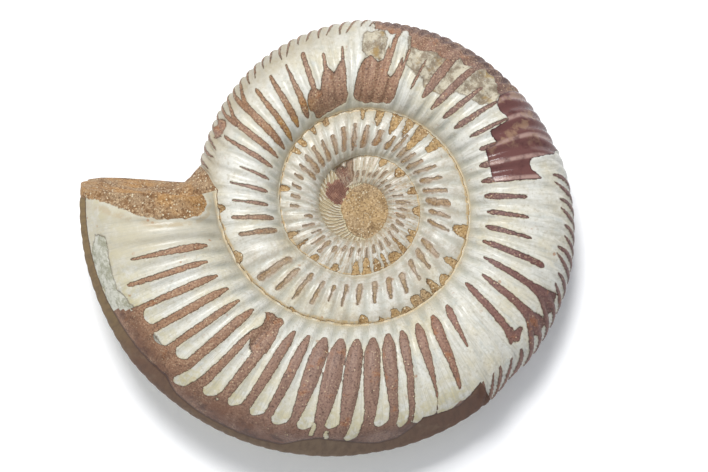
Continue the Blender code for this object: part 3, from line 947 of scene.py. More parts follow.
class Graph:
    """A material's node tree, with short calls for the nodes that the finishes share."""

    def __init__(self, name: str) -> None:
        """Starts a material with a Principled shader."""
        self.material = bpy.data.materials.new(name)
        self.material.use_nodes = True
        self.tree = self.material.node_tree
        self.shader = self.tree.nodes["Principled BSDF"]
        self.place = self.add("TexCoord", {}).outputs["Object"]

    def feed(self, socket: Socket, value: Value | tuple[float, ...]) -> None:
        """Links a socket to a value, or sets it."""
        if isinstance(value, bpy.types.NodeSocket):
            self.tree.links.new(value, socket)
        else:
            socket.default_value = value

    def add(self, kind: str, values: dict[int | str, Value | tuple[float, ...]],
            **settings: str | bool) -> bpy.types.Node:
        """Adds a node.

        Args:
            kind: Blender's name of the node, without its first words.
            values: What goes into its inputs, by their place or name.
            **settings: Its own settings.

        Returns:
            The node.
        """
        node = self.tree.nodes.new("ShaderNode" + kind)
        for name, setting in settings.items():
            setattr(node, name, setting)
        for key, value in values.items():
            self.feed(node.inputs[key], value)
        return node

    def parts(self, vector: Socket) -> tuple[Socket, Socket, Socket]:
        """The three numbers of a vector."""
        east, north, up = self.add("SeparateXYZ", {0: vector}).outputs
        return east, north, up

    def attribute(self, name: str) -> tuple[Socket, Socket, Socket, Socket]:
        """The four numbers stored at each corner of the mesh under a name."""
        node = self.add("Attribute", {}, attribute_name=name)
        return (*self.parts(node.outputs["Vector"]), node.outputs["Alpha"])

    def math(self, kind: Sum, first: Value, second: Value = 0.0, clamp: bool = False) -> Socket:
        """Result of one sum.

        Args:
            kind: What is done.
            first: First value.
            second: Second value.
            clamp: Whether to keep the result from 0 to 1.

        Returns:
            The result's socket.
        """
        return self.add("Math", {0: first, 1: second}, operation=kind.value, use_clamp=clamp).outputs[0]

    def chain(self, kind: Sum, values: tuple[Value, ...]) -> Value:
        """Result of the same sum over some values, from the first on."""
        result = values[0]
        for value in values[1:]:
            result = self.math(kind, result, value)
        return result

    def times(self, *values: Value) -> Value:
        """Product of some values."""
        return self.chain(Sum.TIMES, values)

    def plus(self, *values: Value) -> Value:
        """Sum of some values."""
        return self.chain(Sum.PLUS, values)

    def minus(self, *values: Value) -> Value:
        """The first value less the others."""
        return self.chain(Sum.MINUS, values)

    def most(self, *values: Value) -> Value:
        """Greatest of some values."""
        return self.chain(Sum.MOST, values)

    def off_whole(self, value: Value) -> Socket:
        """Distance from a value to the nearest whole number."""
        return self.math(Sum.SIZE, self.minus(value, self.math(Sum.NEAREST, value)))

    def smooth(self, low: Value, high: Value, value: Value) -> Socket:
        """Goes smoothly from 0 at low to 1 at high."""
        ends = {"Value": value, "From Min": low, "From Max": high}
        return self.add("MapRange", ends, interpolation_type="SMOOTHSTEP").outputs["Result"]

    def vector(self, first: Value, second: Value, third: Value) -> Socket:
        """Three numbers as a vector."""
        return self.add("CombineXYZ", {0: first, 1: second, 2: third}).outputs[0]

    def noise(self, scale: float, detail: float = 3.0, rough: float = 0.55,
              place: Socket | None = None) -> Socket:
        """Cloudy noise about 0.5.

        Args:
            scale: Clouds to a unit of place.
            detail: Finer layers.
            rough: Strength of the finer layers.
            place: Where to read it, if not at the place on the fossil.

        Returns:
            The noise's socket.
        """
        place = self.place if place is None else place
        values = {"Vector": place, "Scale": scale, "Detail": detail, "Roughness": rough}
        return self.add("TexNoise", values).outputs[0]

    def clouds(self, low: float, high: float, scale: float, detail: float = 3.0,
               rough: float = 0.55) -> Socket:
        """Noise on the fossil drawn apart, from 0 at low to 1 at high."""
        return self.smooth(low, high, self.noise(scale, detail, rough))

    def grains(self, scale: float, share: float, shift: float = 0.0) -> Socket:
        """Rounded grains, 1 inside and 0 between.

        Args:
            scale: Grains to a metre.
            share: Share of the cells that hold a grain.
            shift: How far all of them are moved, so that two sorts don't coincide.

        Returns:
            The grains' socket.
        """
        place = self.add("VectorMath", {0: self.place, 1: (shift,) * 3}).outputs[0]
        node = self.add("TexVoronoi", {"Vector": place, "Scale": scale})
        chosen = self.smooth(1 - share - 0.02, 1 - share + 0.02, self.parts(node.outputs["Color"])[0])
        return self.times(chosen, self.smooth(0.48, 0.3, node.outputs["Distance"]))

    def mix(self, share: Value, first: Socket | Colour, second: Socket | Colour) -> Socket:
        """Mixes two colours, with share of the second."""
        first, second = (paint(colour) if isinstance(colour, tuple) else colour for colour in (first, second))
        return self.add("Mix", {0: share, 6: first, 7: second}, data_type="RGBA").outputs[2]

    def coats(self, colour: Socket, *rows: tuple[Socket | Colour | float, ...]) -> Socket:
        """Lays coats over a colour, one after another.

        Args:
            colour: What lies under them.
            *rows: Each coat's colour, and the shares whose product is how much of it covers.

        Returns:
            The colour's socket.
        """
        for coat, *shares in rows:
            colour = self.mix(self.times(*shares), colour, coat)
        return colour

    def between(self, share: Value, first: Value, second: Value) -> Socket:
        """Mixes two numbers."""
        return self.add("Mix", {0: share, 2: first, 3: second}).outputs[0]

    def ramp(self, value: Value, stops: Stops) -> Socket:
        """Colour along a range, by stops of rising place."""
        low, high = stops[0][0], stops[-1][0]
        node = self.add("ValToRGB", {0: self.math(Sum.OVER, self.minus(value, low), high - low)})
        band = node.color_ramp
        for index, (spot, colour) in enumerate(stops):
            share = (spot - low) / (high - low)
            stop = band.elements[index] if index < 2 else band.elements.new(share)
            stop.position = share
            stop.color = paint(colour)
        return node.outputs[0]

    def dress(self, colour: Socket, rough: Value, height: Value, depth: float) -> bpy.types.Material:
        """Gives the shader its colour, roughness and fine relief.

        Args:
            colour: Its colour.
            rough: Its roughness.
            height: Fine relief, from 0 to 1.
            depth: Depth of that relief, in metres.

        Returns:
            The material.
        """
        bump = self.add("Bump", {"Height": height, "Distance": depth}).outputs[0]
        for name, value in (("Base Color", colour), ("Roughness", rough), ("Normal", bump)):
            self.feed(self.shader.inputs[name], value)
        return self.material


class Zones:
    """Where each kind of surface shows: coil terms, and depths in millimetres inside each area."""

    inner_whorls: tuple[float, float] = (545.0, 580.0)

    def __init__(self, g: Graph) -> None:
        """Reads what the surface stores, and frays the edges of the areas.

        Args:
            g: The material's graph.
        """
        self.g = g
        self.count, self.outward, self.angle, self.spacing = g.attribute("coil")
        patch, self.maroon, calcite, sand = g.attribute("patch")
        facet, self.mouth, self.way, self.shown = g.attribute("edge")
        self.along, self.across, whorl, _ = g.attribute("flow")
        self.offset = g.off_whole(self.count)
        self.inner = self.past(*self.inner_whorls)
        self.fine_fray = g.times(g.minus(g.noise(700.0, 5.0, 0.7), 0.5), 1.15)
        self.broad_fray = g.times(g.minus(g.noise(380.0, 4.0, 0.65), 0.5), 2.4)
        patchy = g.times(g.minus(g.noise(420.0, 3.0, 0.6), 0.52), 1.6)
        self.bare = g.plus(self.bare_depth(patch), self.fine_fray, g.times(self.inner, patchy))
        self.sand = g.plus(g.most(sand, self.seam_depth()), self.broad_fray)
        self.calcite = g.plus(calcite, self.broad_fray)
        self.facet = g.plus(facet, self.fine_fray)
        self.streaks = g.noise(1.3, 4.0, 0.62, g.vector(self.along, g.times(self.across, 0.14), whorl))

    def past(self, low: float, high: float) -> Socket:
        """Goes smoothly from 0 at one angle along the coil to 1 at another."""
        return self.g.smooth(low, high, self.angle)

    def shares(self) -> tuple[Socket, ...]:
        """How much of each layer over the shell shows: calcite, worn, maroon, facet, sand and mouth."""
        g = self.g
        soft = g.between(self.inner, 0.07, 0.32)
        faint = g.times(self.inner, g.between(g.smooth(0.44, 0.6, self.streaks), 0.05, 0.6))
        worn = g.times(g.smooth(g.times(soft, -1.0), soft, self.bare), g.minus(1.0, faint))
        return (g.times(g.smooth(-0.3, 0.3, self.calcite), g.minus(1.0, worn)), worn,
                g.smooth(-0.06, 0.06, g.plus(self.maroon, self.fine_fray)), g.smooth(-0.15, 0.15, self.facet),
                g.smooth(-0.1, 0.1, self.sand), g.smooth(-0.12, 0.12, g.plus(self.mouth, self.broad_fray)))

    def bare_depth(self, patch: Socket) -> Socket:
        """How far a point is inside the worn slots and patches.

        Args:
            patch: Depth inside the listed patches.

        Returns:
            The depth's socket.
        """
        g = self.g
        tip, bluntness, forked, cream = g.attribute("tip")
        fork = g.times(g.smooth(0.55, 0.82, self.outward), 0.25)
        from_branch = g.math(Sum.SIZE, g.minus(self.offset, fork))
        slot = g.minus(self.lens_width("slot"), g.between(forked, self.offset, from_branch))
        branch = g.minus(self.lens_width("branch"), from_branch)
        inside = g.most(g.minus(tip, self.outward), 0.0)
        blunt = g.times(g.math(Sum.ROOT, g.math(Sum.OVER, inside, 0.035, clamp=True)), 0.44)
        reach = g.plus(g.most(g.math(Sum.ROOT, inside), blunt), g.most(g.minus(inside, 0.25), 0.0))
        past = g.times(g.most(g.minus(self.outward, tip), 0.0), 8.0)
        beyond = g.minus(g.plus(g.minus(0.5, self.offset), past), g.times(reach, bluntness))
        depth = g.most(g.times(g.most(slot, branch, beyond), self.spacing), patch)
        return g.math(Sum.LEAST, depth, g.times(cream, -1.0))

    def lens_width(self, name: str) -> Socket:
        """Half width of a slot at a point, in shares of a rib's spacing, and below 0 past its ends."""
        g = self.g
        start, end, half, taper = g.attribute(name)
        share = g.math(Sum.OVER, g.minus(self.outward, start), g.minus(end, start))
        rise = g.math(Sum.ROOT, g.math(Sum.OVER, share, 0.2, clamp=True))
        close = g.math(Sum.ROOT, g.math(Sum.OVER, g.minus(1.0, share), 0.06, clamp=True))
        ends = g.times(rise, close)
        width = g.times(half, g.minus(1.0, g.times(g.minus(1.0, taper), g.smooth(0.28, 1.0, share))))
        return g.minus(g.times(width, ends), g.times(g.smooth(0.25, 0.0, ends), 0.2))

    def seam_depth(self) -> Socket:
        """How far a point is inside the thin sandy line along the inner seam."""
        g = self.g
        ragged = g.noise(1.0, 3.0, 0.6, g.vector(g.times(self.angle, 0.22), 0.0, 0.0))
        return g.times(g.minus(g.times(g.minus(ragged, 0.46), 0.09), self.way), 60.0)


@dataclass(frozen=True)
class Sandstone:
    """Coarse sandy stone that fills the mouth and the hollows."""

    body: Colour = (188, 142, 88)
    dark: Colour = (132, 92, 54)
    grey: Colour = (170, 142, 110)
    pale: Colour = (238, 222, 190)
    # Pale grains of the stone, brightened as painted glints.
    glint_fleck: Colour = (232, 206, 166)
    pit: Colour = (88, 62, 42)
    grain_scale: float = 1250.0

    def paint(self, g: Graph) -> tuple[Socket, Socket]:
        """Colour and fine relief."""
        blotch = g.noise(240.0, 4.0, 0.65)
        fine = g.noise(1600.0, 3.0, 0.65)
        pale = g.grains(self.grain_scale, 0.2)
        colour = g.coats(
            g.mix(g.clouds(0.38, 0.62, 65.0, 3.0, 0.6), self.body, self.grey),
            (self.dark, g.smooth(0.46, 0.62, blotch), 0.8),
            (self.pit, g.smooth(0.46, 0.34, fine), 0.65),
            # pale grains with painted glints
            (self.glint_fleck, g.smooth(0.54, 0.66, fine), 0.7),
            (self.pit, g.grains(self.grain_scale * 1.2, 0.16, 0.31), 0.6),
            (self.pale, pale, g.smooth(0.42, 0.55, blotch)))
        return colour, g.plus(g.times(fine, 0.5), g.times(blotch, 0.7), g.times(pale, 0.25))


@dataclass(frozen=True)
class Cream:
    """The polished shell itself."""

    cream: Colour = (228, 226, 216)
    warm: Colour = (222, 213, 186)
    cool: Colour = (204, 207, 200)
    mottled: Colour = (216, 208, 186)
    # Painted glints: bright specks standing in for light glancing off the polished shell.
    glint_fleck: Colour = (246, 243, 234)
    dust: Colour = (182, 172, 150)
    # Painted shade, with some grime, in the grooves between the ribs near the inner seam.
    hollow: Colour = (178, 179, 166)
    # Painted shade with some dirt on the inner wall beside the seam.
    wall_shade_and_dirt: Colour = (204, 194, 166)
    olive: Colour = (208, 196, 150)
    rind: Colour = (198, 178, 132)
    aged: Colour = (172, 148, 114)
    haze: Colour = (176, 144, 122)
    stain: Colour = (194, 160, 108)
    # Painted shade that darkens the venter of the upper left, past 440 degrees.
    venter: Colour = (172, 158, 128)
    by_mouth: Colour = (204, 196, 174)
    growth_line: Colour = (190, 186, 170)
    seam: Colour = (216, 192, 148)
    lip: Colour = (206, 178, 130)
    crack: Colour = (104, 76, 50)
    rust: Colour = (172, 108, 58)

    def paint(self, g: Graph, at: Zones) -> tuple[Socket, Socket]:
        """Colour and fine relief."""
        mottle = g.noise(190.0, 4.0, 0.65)
        fine = g.noise(900.0, 4.0, 0.7)
        near_seam = g.most(g.smooth(0.32, 0.1, at.way), g.times(at.past(545.0, 575.0), 0.75))
        lines = g.noise(1.0, 3.0, 0.6, g.vector(g.times(at.along, 3.4), g.times(at.across, 0.1), 0.0))
        frayed = g.plus(at.shown, g.times(g.minus(mottle, 0.5), 0.12))
        crack = self.crack_share(g, at)
        colour = g.coats(
            g.mix(g.clouds(0.42, 0.7, 60.0, 4.0, 0.6), self.cream, self.warm),
            (self.cool, g.smooth(0.48, 0.72, at.streaks), 0.8),
            (self.mottled, g.smooth(0.5, 0.68, mottle), 0.45),
            # painted glints on the polish
            (self.glint_fleck, g.smooth(0.53, 0.66, fine), 0.6),
            (self.dust, g.smooth(0.46, 0.34, fine), 0.5),
            # painted shade in the rib grooves near the seam, with some grime
            (self.hollow, g.smooth(0.22, 0.46, at.offset), near_seam, g.between(at.streaks, 0.4, 1.0)),
            # painted shade and dirt on the inner wall
            (self.wall_shade_and_dirt, g.smooth(0.16, 0.02, at.way), g.between(mottle, 0.3, 1.0), 0.85),
            (self.olive, g.smooth(0.42, 0.78, at.outward), at.past(308.0, 296.0),
             g.clouds(0.34, 0.62, 330.0, 4.0, 0.7), 0.95),
            (self.rind, g.smooth(-0.5, -0.05, at.bare), g.between(mottle, 0.1, 1.0), 0.7),
            (self.aged, self.age(g, at)),
            (self.haze, g.smooth(-0.75, -0.1, at.bare), at.inner, g.between(fine, 0.1, 0.9)),
            (self.stain, g.smooth(-2.95, -2.3, at.mouth), g.smooth(-0.5, -1.4, at.mouth),
             g.smooth(0.38, 0.52, mottle), 0.9),
            # painted shade on the upper-left venter
            (self.venter, g.smooth(0.54, 0.8, at.outward), at.past(440.0, 470.0),
             g.between(mottle, 0.6, 1.0)),
            (self.by_mouth, at.past(204.0, 190.0), g.between(mottle, 0.3, 1.0)),
            (self.growth_line, g.smooth(0.5, 0.64, lines), 0.5),
            (self.seam, g.smooth(0.05, 0.015, at.way), at.past(546.0, 541.0),
             g.clouds(0.36, 0.56, 260.0, 4.0, 0.65), 0.75),
            (self.lip, at.past(541.0, 546.0), g.smooth(0.962, 0.985, frayed), g.clouds(0.3, 0.5, 900.0), 0.8),
            (self.crack, crack),
            (self.rust, g.grains(700.0, 0.04), g.smooth(0.5, 0.62, mottle), 0.6))
        step = g.smooth(0.2, -0.25, at.bare)
        height = g.plus(g.times(at.streaks, 0.14), g.times(fine, 0.10), g.times(step, 0.35))
        return colour, g.plus(g.minus(height, g.times(crack, 0.3)), 0.4)

    def age(self, g: Graph, at: Zones) -> Socket:
        """How much brown stain shows on the inner whorls, in fine streaks along the ribs."""
        strength = g.plus(g.times(at.past(548.0, 570.0), 0.38), g.times(at.past(880.0, 960.0), 0.45))
        speckle = g.clouds(0.44, 0.64, 1300.0, 3.0, 0.6)
        amount = g.plus(g.times(g.smooth(0.42, 0.62, at.streaks), 0.8), g.times(speckle, 0.4))
        between_ribs = g.smooth(0.2, 0.42, g.off_whole(g.times(at.count, 2.0)))
        fine = g.times(between_ribs, at.past(900.0, 1000.0), g.between(speckle, 0.35, 0.85))
        return g.most(fine, g.times(strength, amount))

    def crack_share(self, g: Graph, at: Zones) -> Socket:
        """How much of the thin broken dark line along the inner seam shows."""
        ragged = g.noise(1.0, 3.0, 0.65, g.vector(g.times(at.angle, 0.35), 7.0, 0.0))
        return g.times(g.smooth(0.009, 0.003, at.way), g.smooth(0.40, 0.5, ragged))


@dataclass(frozen=True)
class Calcite:
    """Rough calcite in the hollows of the upper right and by the mouth."""

    pale: Colour = (214, 204, 180)
    dark: Colour = (152, 136, 114)
    strip_pale: Colour = (226, 224, 208)
    strip_dark: Colour = (176, 174, 150)
    # Pale calcite of the strip by the mouth, darkened by painted shade past 212 degrees.
    strip_end_shade: Colour = (176, 172, 158)
    strip_end_dark: Colour = (120, 110, 94)
    ochre: Colour = (172, 138, 72)
    # Painted glints of light on the calcite crystals.
    glint_fleck: Colour = (228, 226, 214)
    pit: Colour = (96, 86, 74)
    edge: Colour = (108, 88, 66)

    def paint(self, g: Graph, at: Zones) -> tuple[Socket, Socket]:
        """Colour and fine relief."""
        blotch = g.noise(230.0, 5.0, 0.72)
        fine = g.noise(1100.0, 4.0, 0.7)
        strip = at.past(230.0, 226.0)
        dark = g.mix(strip, self.dark, g.mix(at.past(203.0, 210.0), self.strip_dark, self.strip_end_dark))
        # the pale calcite turns to painted shade towards the strip's far end
        pale = g.mix(strip, self.pale, g.mix(at.past(203.0, 212.0), self.strip_pale, self.strip_end_shade))
        colour = g.coats(
            g.mix(g.smooth(0.42, 0.6, blotch), pale, dark),
            (self.ochre, g.clouds(0.56, 0.68, 150.0), at.past(214.0, 230.0), 0.75),
            # painted glints on the calcite
            (self.glint_fleck, g.smooth(0.54, 0.7, fine), 0.6),
            (self.pit, g.smooth(0.44, 0.3, fine), 0.6),
            (self.edge, g.smooth(0.5, 0.05, at.calcite), 0.75))
        return colour, g.plus(g.times(fine, 0.6), g.times(blotch, 0.6))


@dataclass(frozen=True)
class Mould:
    """Brown stone that shows in the worn slots."""

    along: Stops = (
        (183, (172, 132, 104)), (215, (168, 128, 98)), (232, (158, 122, 100)), (255, (158, 126, 111)),
        (285, (154, 122, 105)), (300, (160, 120, 100)), (318, (142, 102, 92)), (338, (122, 84, 80)),
        (372, (124, 88, 82)), (405, (140, 108, 96)), (440, (170, 130, 104)), (462, (166, 130, 106)),
        (478, (156, 120, 94)), (492, (154, 114, 78)), (512, (160, 122, 98)), (530, (170, 138, 124)),
        (560, (156, 125, 94)), (600, (158, 130, 88)), (660, (152, 124, 84)), (690, (152, 124, 82)),
        (720, (160, 128, 90)), (770, (170, 138, 86)), (800, (156, 118, 78)), (870, (152, 122, 84)),
        (1000, (162, 138, 94)), (1170, (156, 126, 90)), (1188, (128, 88, 72)), (1206, (136, 94, 76)))
    outline: Colour = (72, 52, 42)
    mauve: Colour = (90, 60, 58)
    mauve_pale: Colour = (150, 118, 98)
    golden: Colour = (186, 142, 78)
    rust: Colour = (172, 108, 58)
    speck: Colour = (62, 44, 38)
    fleck: Colour = (206, 180, 148)
    sand_grain: Colour = (218, 196, 160)
    reddish: Colour = (122, 84, 64)
    reddish_dark: Colour = (92, 62, 50)
    # Painted shade in the crease along the edge of the ground facet.
    crease: Colour = (62, 38, 32)

    def paint(self, g: Graph, at: Zones) -> tuple[Socket, Socket]:
        """Colour and fine relief."""
        blotch = g.noise(230.0, 4.0, 0.65)
        fine = g.noise(1700.0, 3.0, 0.65)
        base = g.ramp(at.angle, self.along)
        mauve = g.mix(g.smooth(0.4, 0.62, blotch), self.mauve, self.mauve_pale)
        reddish = g.mix(g.smooth(0.45, 0.6, blotch), self.reddish, self.reddish_dark)
        calm = g.times(at.past(232.0, 244.0), at.past(352.0, 330.0))
        colour = g.coats(
            base,
            (g.mix(0.35, base, self.outline), g.smooth(0.4, 0.72, at.streaks)),
            (mauve, at.past(390.0, 398.0), at.past(446.0, 440.0), g.smooth(0.72, 0.8, at.outward), 0.85),
            (self.golden, at.past(470.0, 484.0), at.past(520.0, 508.0), g.smooth(0.5, 0.3, at.outward),
             g.smooth(0.42, 0.58, blotch), 0.8),
            (self.rust, g.smooth(0.56, 0.7, blotch), 0.5),
            (self.speck, g.smooth(0.54, 0.66, fine), 0.7),
            (self.fleck, g.smooth(0.47, 0.35, fine), g.between(calm, 0.6, 0.25)),
            (self.sand_grain, g.grains(1900.0, 0.06), g.smooth(0.4, 0.55, blotch)),
            (reddish, g.smooth(0.62, 0.8, at.outward), at.past(306.0, 298.0),
             g.plus(g.times(g.clouds(0.36, 0.58, 120.0, 4.0, 0.65), 0.75), 0.2)),
            # painted shade in the facet's crease
            (self.crease, g.smooth(-0.9, -0.1, at.facet), 0.75),
            (self.outline, g.smooth(0.32, 0.05, at.bare), 0.6))
        return colour, g.plus(g.times(fine, 0.22), g.times(blotch, 0.18))


@dataclass(frozen=True)
class MaroonGloss:
    """Glossy maroon stone of the patch at the right."""

    body: Colour = (114, 74, 70)
    # Painted highlight along the rib crests of the glossy patch.
    crest: Colour = (178, 146, 136)
    deep: Colour = (84, 48, 48)
    worn: Colour = (166, 134, 108)
    rust: Colour = (172, 108, 58)
    edge: Colour = (44, 26, 28)

    def paint(self, g: Graph, at: Zones) -> tuple[Socket, Socket]:
        """Colour and fine relief."""
        fine = g.noise(1500.0, 3.0, 0.6)
        colour = g.coats(
            # painted highlight on the crests, the body colour between them
            g.mix(g.smooth(0.03, 0.16, at.offset), self.crest, self.body),
            (self.deep, g.clouds(0.48, 0.7, 260.0, 4.0, 0.6), 0.7),
            (self.worn, at.past(374.0, 386.0), g.clouds(0.52, 0.64, 170.0, 4.0, 0.65), 0.7),
            (self.rust, g.smooth(0.66, 0.72, fine), 0.35),
            (self.edge, g.smooth(0.4, 0.0, at.maroon), 0.6))
        return colour, g.times(fine, 0.14)


@dataclass(frozen=True)
class GroundStone:
    """Stone of the facet ground on the venter."""

    along: Stops = (
        (183, (144, 120, 80)), (206, (138, 114, 80)), (216, (124, 92, 72)), (240, (130, 106, 82)),
        (262, (132, 110, 88)), (285, (122, 94, 76)), (304, (112, 80, 64)))
    shade: Colour = (84, 66, 58)
    pale: Colour = (146, 126, 102)
    # Painted shade along the facet's edges, where it meets the crease.
    edge: Colour = (74, 48, 40)

    def paint(self, g: Graph, at: Zones) -> tuple[Socket, Socket]:
        """Colour and fine relief."""
        base = g.ramp(at.angle, self.along)
        colour = g.coats(
            base,
            (g.mix(0.4, base, self.shade), g.smooth(0.38, 0.7, at.streaks)),
            (self.pale, g.clouds(0.55, 0.72, 150.0, 4.0, 0.65), 0.4),
            # painted shade at the facet's edges
            (self.edge, g.smooth(0.9, 0.1, at.facet), 0.6))
        return colour, g.times(at.streaks, 0.15)


@dataclass(frozen=True)
class ShellFinish:
    """Polished shell, and the stone that shows where it is worn or broken through."""

    name: str = "polished_shell"
    cream: Cream = Cream()
    calcite: Calcite = Calcite()
    mould: Mould = Mould()
    gloss: MaroonGloss = MaroonGloss()
    ground: GroundStone = GroundStone()
    sandstone: Sandstone = Sandstone(body=(196, 162, 112), dark=(150, 116, 76), grey=(184, 156, 118))
    mouth_stone: Sandstone = Sandstone()
    gleam: float = 0.32
    relief: float = 0.0006

    def build(self) -> bpy.types.Material:
        """Makes the material.

        Returns:
            The material, which reads the attributes that the surface stores.
        """
        g = Graph(self.name)
        at = Zones(g)
        layers = self.layers(g, at)
        base, height, rough = layers[0]
        for share, (colour, relief, roughness) in zip(at.shares(), layers[1:]):
            base = g.mix(share, base, colour)
            height = g.between(share, height, relief)
            rough = g.between(share, rough, roughness)
        g.shader.inputs["Specular IOR Level"].default_value = self.gleam
        return g.dress(base, rough, height, self.relief)

    def layers(self, g: Graph, at: Zones) -> tuple[tuple[Socket, Socket, Value], ...]:
        """Colour, fine relief and roughness of each kind of surface, from the shell to the mouth's matrix."""
        tan, tan_height = self.sandstone.paint(g)
        rim = g.times(g.smooth(0.3, 0.0, at.sand), 0.6)
        return (
            (*self.cream.paint(g, at), g.between(at.streaks, 0.22, 0.4)),
            (*self.calcite.paint(g, at), 0.6),
            (*self.mould.paint(g, at), 0.5),
            (*self.gloss.paint(g, at), 0.2),
            (*self.ground.paint(g, at), 0.8),
            (g.mix(rim, tan, self.mould.outline), tan_height, 0.85),
            (*self.mouth_stone.paint(g), 0.88))


@dataclass(frozen=True)
class MatrixFinish:
    """Coarse sandstone of the broken mouth."""

    name: str = "break_matrix"
    stone: Sandstone = Sandstone()
    roughness: tuple[float, float] = (0.78, 0.95)
    relief: float = 0.0006

    def build(self) -> bpy.types.Material:
        """Makes the material.

        Returns:
            The material.
        """
        g = Graph(self.name)
        colour, height = self.stone.paint(g)
        return g.dress(colour, g.between(g.noise(700.0), *self.roughness), height, self.relief)


@dataclass(frozen=True)
class CoreFinish:
    """Matrix at the centre of the coil, with what is left of the first whorls round it.

    Places are in metres on the upper face.
    """

    name: str = "core_matrix"
    stone: Sandstone = Sandstone(body=(188, 156, 110), dark=(150, 120, 80), grey=(176, 150, 116),
                                 grain_scale=1800.0)
    axis: tuple[float, float] = (0.0102, 0.0092)
    blob: tuple[float, float] = (0.0124, 0.0079)
    blob_radius: float = 0.0082
    patch: tuple[float, float] = (0.0028, 0.0136)
    patch_radius: float = 0.0034
    edge: float = 0.0002
    ribs: float = 56.0
    cream: Colour = (216, 206, 182)
    rib_brown: Colour = (164, 140, 106)
    dusty: Colour = (190, 172, 134)
    lip: Colour = (228, 214, 176)
    maroon: Colour = (158, 114, 92)
    maroon_dark: Colour = (130, 88, 72)
    roughness: tuple[float, float] = (0.45, 0.85)
    relief: float = 0.0005

    def build(self) -> bpy.types.Material:
        """Makes the material.

        Returns:
            The material.
        """
        g = Graph(self.name)
        fray = g.times(g.minus(g.noise(330.0, 4.0, 0.65), 0.5), 0.0042)
        from_blob = g.plus(self.distance(g, self.blob), fray)
        from_patch = g.plus(self.distance(g, self.patch), g.times(fray, 1.4))
        inside = g.smooth(self.blob_radius, self.blob_radius - self.edge, from_blob)
        ribbed, height = self.ribbed(g)
        sand, sand_height = self.stone.paint(g)
        colour = g.coats(
            ribbed,
            (self.lip, g.smooth(self.blob_radius + 0.0007, self.blob_radius + self.edge, from_blob), 0.8),
            (sand, inside),
            (g.mix(g.clouds(0.4, 0.6, 500.0), self.maroon, self.maroon_dark),
             g.smooth(self.patch_radius, self.patch_radius - self.edge, from_patch)))
        height = g.between(inside, height, sand_height)
        return g.dress(colour, g.between(inside, *self.roughness), height, self.relief)

    def distance(self, g: Graph, middle: tuple[float, float]) -> Socket:
        """Distance to the upright line through a middle, in metres."""
        east, north, _ = g.parts(g.place)
        across = g.minus(east, middle[0])
        up = g.times(g.minus(north, middle[1]), 0.92)
        return g.math(Sum.ROOT, g.plus(g.times(across, across), g.times(up, up)))

    def ribbed(self, g: Graph) -> tuple[Socket, Socket]:
        """Colour and fine relief of the last ribs round the core."""
        east, north, _ = g.parts(g.place)
        around = g.math(Sum.BEARING, g.minus(north, self.axis[1]), g.minus(east, self.axis[0]))
        swept = g.plus(around, g.times(self.distance(g, self.axis), 60.0), g.times(g.noise(500.0, 2.0), 0.12))
        wave = g.math(Sum.WAVE, g.times(swept, self.ribs))
        colour = g.mix(g.smooth(-0.2, 0.5, wave), self.cream, self.rib_brown)
        colour = g.coats(colour, (self.dusty, g.clouds(0.42, 0.58, 380.0, 4.0, 0.65), 0.75))
        return colour, g.times(wave, -0.3)


@dataclass
class Fossil:
    """The ammonite: its surface and its three finishes."""

    surface: Surface
    shell: ShellFinish
    matrix: MatrixFinish
    core: CoreFinish

    def build(self) -> bpy.types.Object:
        """Builds and dresses the fossil, and lets it stand for the solid.

        Returns:
            The fossil's object.
        """
        piece = self.surface.build()
        for finish in (self.shell, self.matrix, self.core):
            piece.data.materials.append(finish.build())
        bpy.context.scene.collection.objects.link(piece)
        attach(piece, "root")
        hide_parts("ammonite")
        return piece


class LampKind(Enum):
    """What a lamp is for."""

    KEY = "key_lamp"
    FILL = "fill_lamp"


@dataclass(frozen=True)
class Lamp:
    """A square soft lamp aimed at the fossil."""

    kind: LampKind
    place: tuple[float, float, float]
    size: float
    power: float
    aim: tuple[float, float, float] = (0.0, 0.0, 0.01)

    def build(self) -> bpy.types.Object:
        """Hangs the lamp.

        Returns:
            The lamp's object.
        """
        data = bpy.data.lights.new(self.kind.value, "AREA")
        data.size = self.size
        data.energy = self.power
        lamp = bpy.data.objects.new(self.kind.value, data)
        lamp.location = self.place
        lamp.rotation_euler = (Vector(self.aim) - Vector(self.place)).to_track_quat("-Z", "Y").to_euler()
        bpy.context.scene.collection.objects.link(lamp)
        return lamp


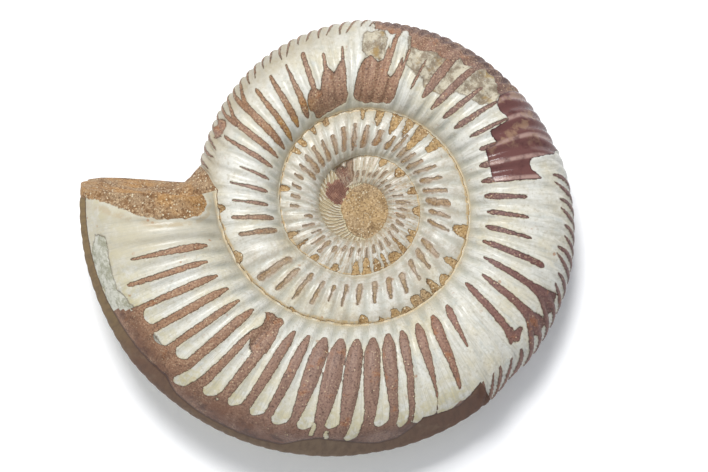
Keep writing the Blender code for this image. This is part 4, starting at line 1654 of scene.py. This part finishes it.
@dataclass(frozen=True)
class Studio:
    """Pale floor, soft lamps and the camera that looks down on the fossil."""

    floor_size: float = 6.0
    floor_colour: Colour = (252, 252, 253)
    sky: float = 0.5
    sky_tint: tuple[float, float, float, float] = (0.96, 1.0, 1.06, 1.0)
    lamps: tuple[Lamp, ...] = (
        Lamp(LampKind.KEY, (-0.1, 0.42, 0.9), 0.3, 9.0),
        Lamp(LampKind.FILL, (-0.6, -0.3, 0.9), 1.0, 1.7))
    target: tuple[float, float, float] = (0.0082, 0.0001, 0.0182)
    elevation: float = 84.0
    distance: float = 0.8
    lens: float = 130.2
    sensor: float = 36.0

    def build(self) -> None:
        """Sets up floor, light and camera."""
        self.add_floor()
        self.add_sky()
        for lamp in self.lamps:
            lamp.build()
        self.add_camera()
        bpy.context.scene.view_settings.view_transform = "Standard"

    def add_floor(self) -> None:
        """Lays the floor at the height on which the fossil rests."""
        half = self.floor_size / 2
        mesh = bpy.data.meshes.new("floor")
        corners = [(-half, -half, 0), (half, -half, 0), (half, half, 0), (-half, half, 0)]
        mesh.from_pydata(corners, [], [(0, 1, 2, 3)])
        floor = bpy.data.objects.new("floor", mesh)
        g = Graph("pale_floor")
        g.shader.inputs["Base Color"].default_value = paint(self.floor_colour, 1.0)
        g.shader.inputs["Roughness"].default_value = 0.9
        mesh.materials.append(g.material)
        bpy.context.scene.collection.objects.link(floor)

    def add_sky(self) -> None:
        """Lights the fossil evenly from all round."""
        world = bpy.data.worlds.new("soft_sky")
        world.use_nodes = True
        inputs = world.node_tree.nodes["Background"].inputs
        inputs["Strength"].default_value = self.sky
        inputs["Color"].default_value = self.sky_tint
        bpy.context.scene.world = world

    def add_camera(self) -> None:
        """Puts the camera almost straight above the fossil."""
        data = bpy.data.cameras.new("camera")
        data.lens = self.lens
        data.sensor_width = self.sensor
        camera = bpy.data.objects.new("camera", data)
        tilt = math.radians(self.elevation)
        back = Vector((0.0, -math.cos(tilt), math.sin(tilt)))
        camera.location = Vector(self.target) + back * self.distance
        camera.rotation_euler = (math.pi / 2 - tilt, 0.0, 0.0)
        bpy.context.scene.collection.objects.link(camera)
        bpy.context.scene.camera = camera


def main() -> None:
    """Builds the fossil and the studio, and reports each."""
    logging.basicConfig(level=logging.INFO, format="%(name)s: %(message)s")
    noise.seed_set(NOISE_SEED)
    coil = Coil()
    ribs = Ribs(coil)
    facet = GroundFacet(coil)
    wear = Wear(Coil(seam_wander=READ_WANDER), ribs, facet)
    surface = Surface(coil, ribs, GrowthPause(), facet, wear, Break(coil), Core())
    piece = Fossil(surface, ShellFinish(), MatrixFinish(), CoreFinish()).build()
    LOG.info("fossil: %s with %d finishes", piece.name, len(piece.data.materials))
    Studio().build()
    LOG.info("studio: floor, sky, lamps and camera")


if __name__ == "__main__":
    main()
